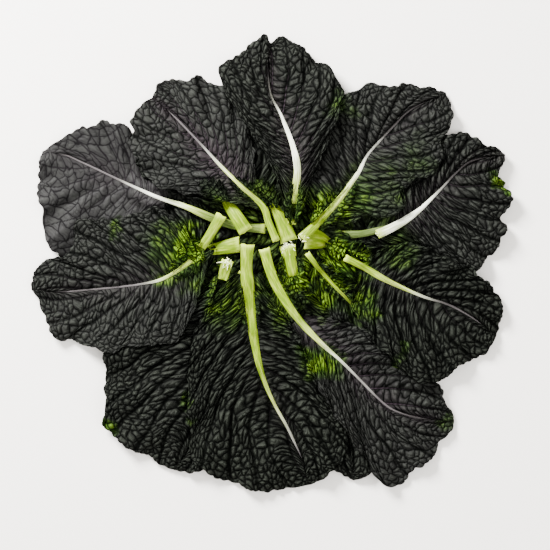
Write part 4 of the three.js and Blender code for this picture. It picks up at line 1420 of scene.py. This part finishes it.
class GREENS_OT_torn_ends(bpy.types.Operator):
    """Add the torn white fibres at the stalks that were pulled and not cut"""

    bl_idname = "greens.torn_ends"
    bl_label = "Torn Ends"

    # Leaf, radius of the patch, number of fibres and length of a fibre, in metres
    TORN = (
        ("south_west", 0.004, 16, 0.006), ("south_inner", 0.006, 26, 0.004),
        ("north_east", 0.004, 12, 0.004), ("east", 0.003, 8, 0.003),
    )

    def execute(self, context):
        tree, material = fibre_tree(), torn_material()
        for number, (leaf, radius, count, length) in enumerate(self.TORN):
            rod = fan["laid"].rods[leaf]
            x, y = rod.spots[0].mean(0) * MM
            top = float((rod.z[0] + rod.lift[0]).max()) * MM
            onward = rod.plan.line.onward(np.array(0.0))
            inputs = {
                "Radius": radius, "Count": float(count), "Fibre Length": length,
                "Place": (x, y, top - 0.0015), "Turn": math.atan2(onward[1], onward[0]) + math.pi / 2,
                "Seed": number + 5, "Material": material,
            }
            name = leaf + "_torn"
            seed_mesh = bpy.data.meshes.new(name)
            seed_mesh.from_pydata([(0, 0, 0)], [], [])
            mesh = grown(name, seed_mesh, tree, inputs)
            piece(name, mesh, leaf + "_stalk")
        return {"FINISHED"}


class GREENS_OT_stage(bpy.types.Operator):
    """Add the pale table, the soft light and the camera straight above"""

    bl_idname = "greens.stage"
    bl_label = "Stage"

    CENTRE = (0.003, -0.011)  # the middle of the picture
    TABLE_HALF = 4.0
    TABLE_TOP = -0.0004
    KEY_PLACE, KEY_SIZE = (-0.95, 1.15, 0.95), 0.6
    FILL_PLACE, FILL_SIZE, FILL_SHARE = (0.9, -0.5, 1.5), 1.4, 0.1
    HEAP_HEIGHT = 0.012

    def execute(self, context):
        settings = context.scene.greens_stage
        half, low = self.TABLE_HALF, self.TABLE_TOP
        corners = [(-half, -half, low), (half, -half, low), (half, half, low), (-half, half, low)]
        mesh = bpy.data.meshes.new("Table")
        mesh.from_pydata(corners, [], [(0, 1, 2, 3)])
        mesh.materials.append(table_material())
        floor = bpy.data.objects.new("Table", mesh)
        context.scene.collection.objects.link(floor)

        world = bpy.data.worlds.new("Studio")
        context.scene.world = world
        world.use_nodes = True
        sky = world.node_tree.nodes["Background"]
        sky.inputs["Color"].default_value = (1.0, 0.99, 0.975, 1)
        sky.inputs["Strength"].default_value = settings.fill

        self.light(context, "Key", self.KEY_PLACE, self.KEY_SIZE, settings.key)
        self.light(context, "Fill", self.FILL_PLACE, self.FILL_SIZE, settings.key * self.FILL_SHARE)

        camera = bpy.data.cameras.new("Camera")
        camera.sensor_width = 36
        camera.lens = camera.sensor_width * settings.distance / settings.field
        camera.clip_end = 20
        holder = bpy.data.objects.new("Camera", camera)
        holder.location = (*self.CENTRE, settings.distance + self.HEAP_HEIGHT)
        context.scene.collection.objects.link(holder)
        context.scene.camera = holder
        return {"FINISHED"}

    def light(self, context, name, place, size, power):
        lamp = bpy.data.lights.new(name, "AREA")
        lamp.shape = "SQUARE"
        lamp.size = size
        lamp.energy = power
        holder = bpy.data.objects.new(name, lamp)
        holder.location = place
        away = holder.location.copy()
        holder.rotation_mode = "QUATERNION"
        holder.rotation_quaternion = away.to_track_quat("Z", "Y")
        context.scene.collection.objects.link(holder)


OPERATORS = (GREENS_OT_blades, GREENS_OT_curls, GREENS_OT_stalks, GREENS_OT_torn_ends, GREENS_OT_stage)


class GREENS_PT_panel(bpy.types.Panel):
    """Buttons and measures for the fan of leaves"""

    bl_idname = "GREENS_PT_panel"
    bl_label = "Red Mustard Greens"
    bl_space_type = "VIEW_3D"
    bl_region_type = "UI"
    bl_category = "Greens"

    def draw(self, context):
        for operator in OPERATORS:
            self.layout.operator(operator.bl_idname)
        for settings in (context.scene.greens_leaves, context.scene.greens_stage):
            box = self.layout.box()
            for name in settings.bl_rna.properties.keys():
                if name not in ("rna_type", "name"):
                    box.prop(settings, name)


CLASSES = (LeafSettings, StageSettings, *OPERATORS, GREENS_PT_panel)


def register():
    for made in CLASSES:
        bpy.utils.register_class(made)
    bpy.types.Scene.greens_leaves = PointerProperty(type=LeafSettings)
    bpy.types.Scene.greens_stage = PointerProperty(type=StageSettings)


def unregister():
    del bpy.types.Scene.greens_leaves
    del bpy.types.Scene.greens_stage
    for made in reversed(CLASSES):
        bpy.utils.unregister_class(made)


def main():
    register()
    bpy.ops.greens.blades()
    bpy.ops.greens.curls()
    bpy.ops.greens.stalks()
    bpy.ops.greens.torn_ends()
    bpy.ops.greens.stage()
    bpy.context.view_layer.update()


if __name__ == "__main__":
    main()
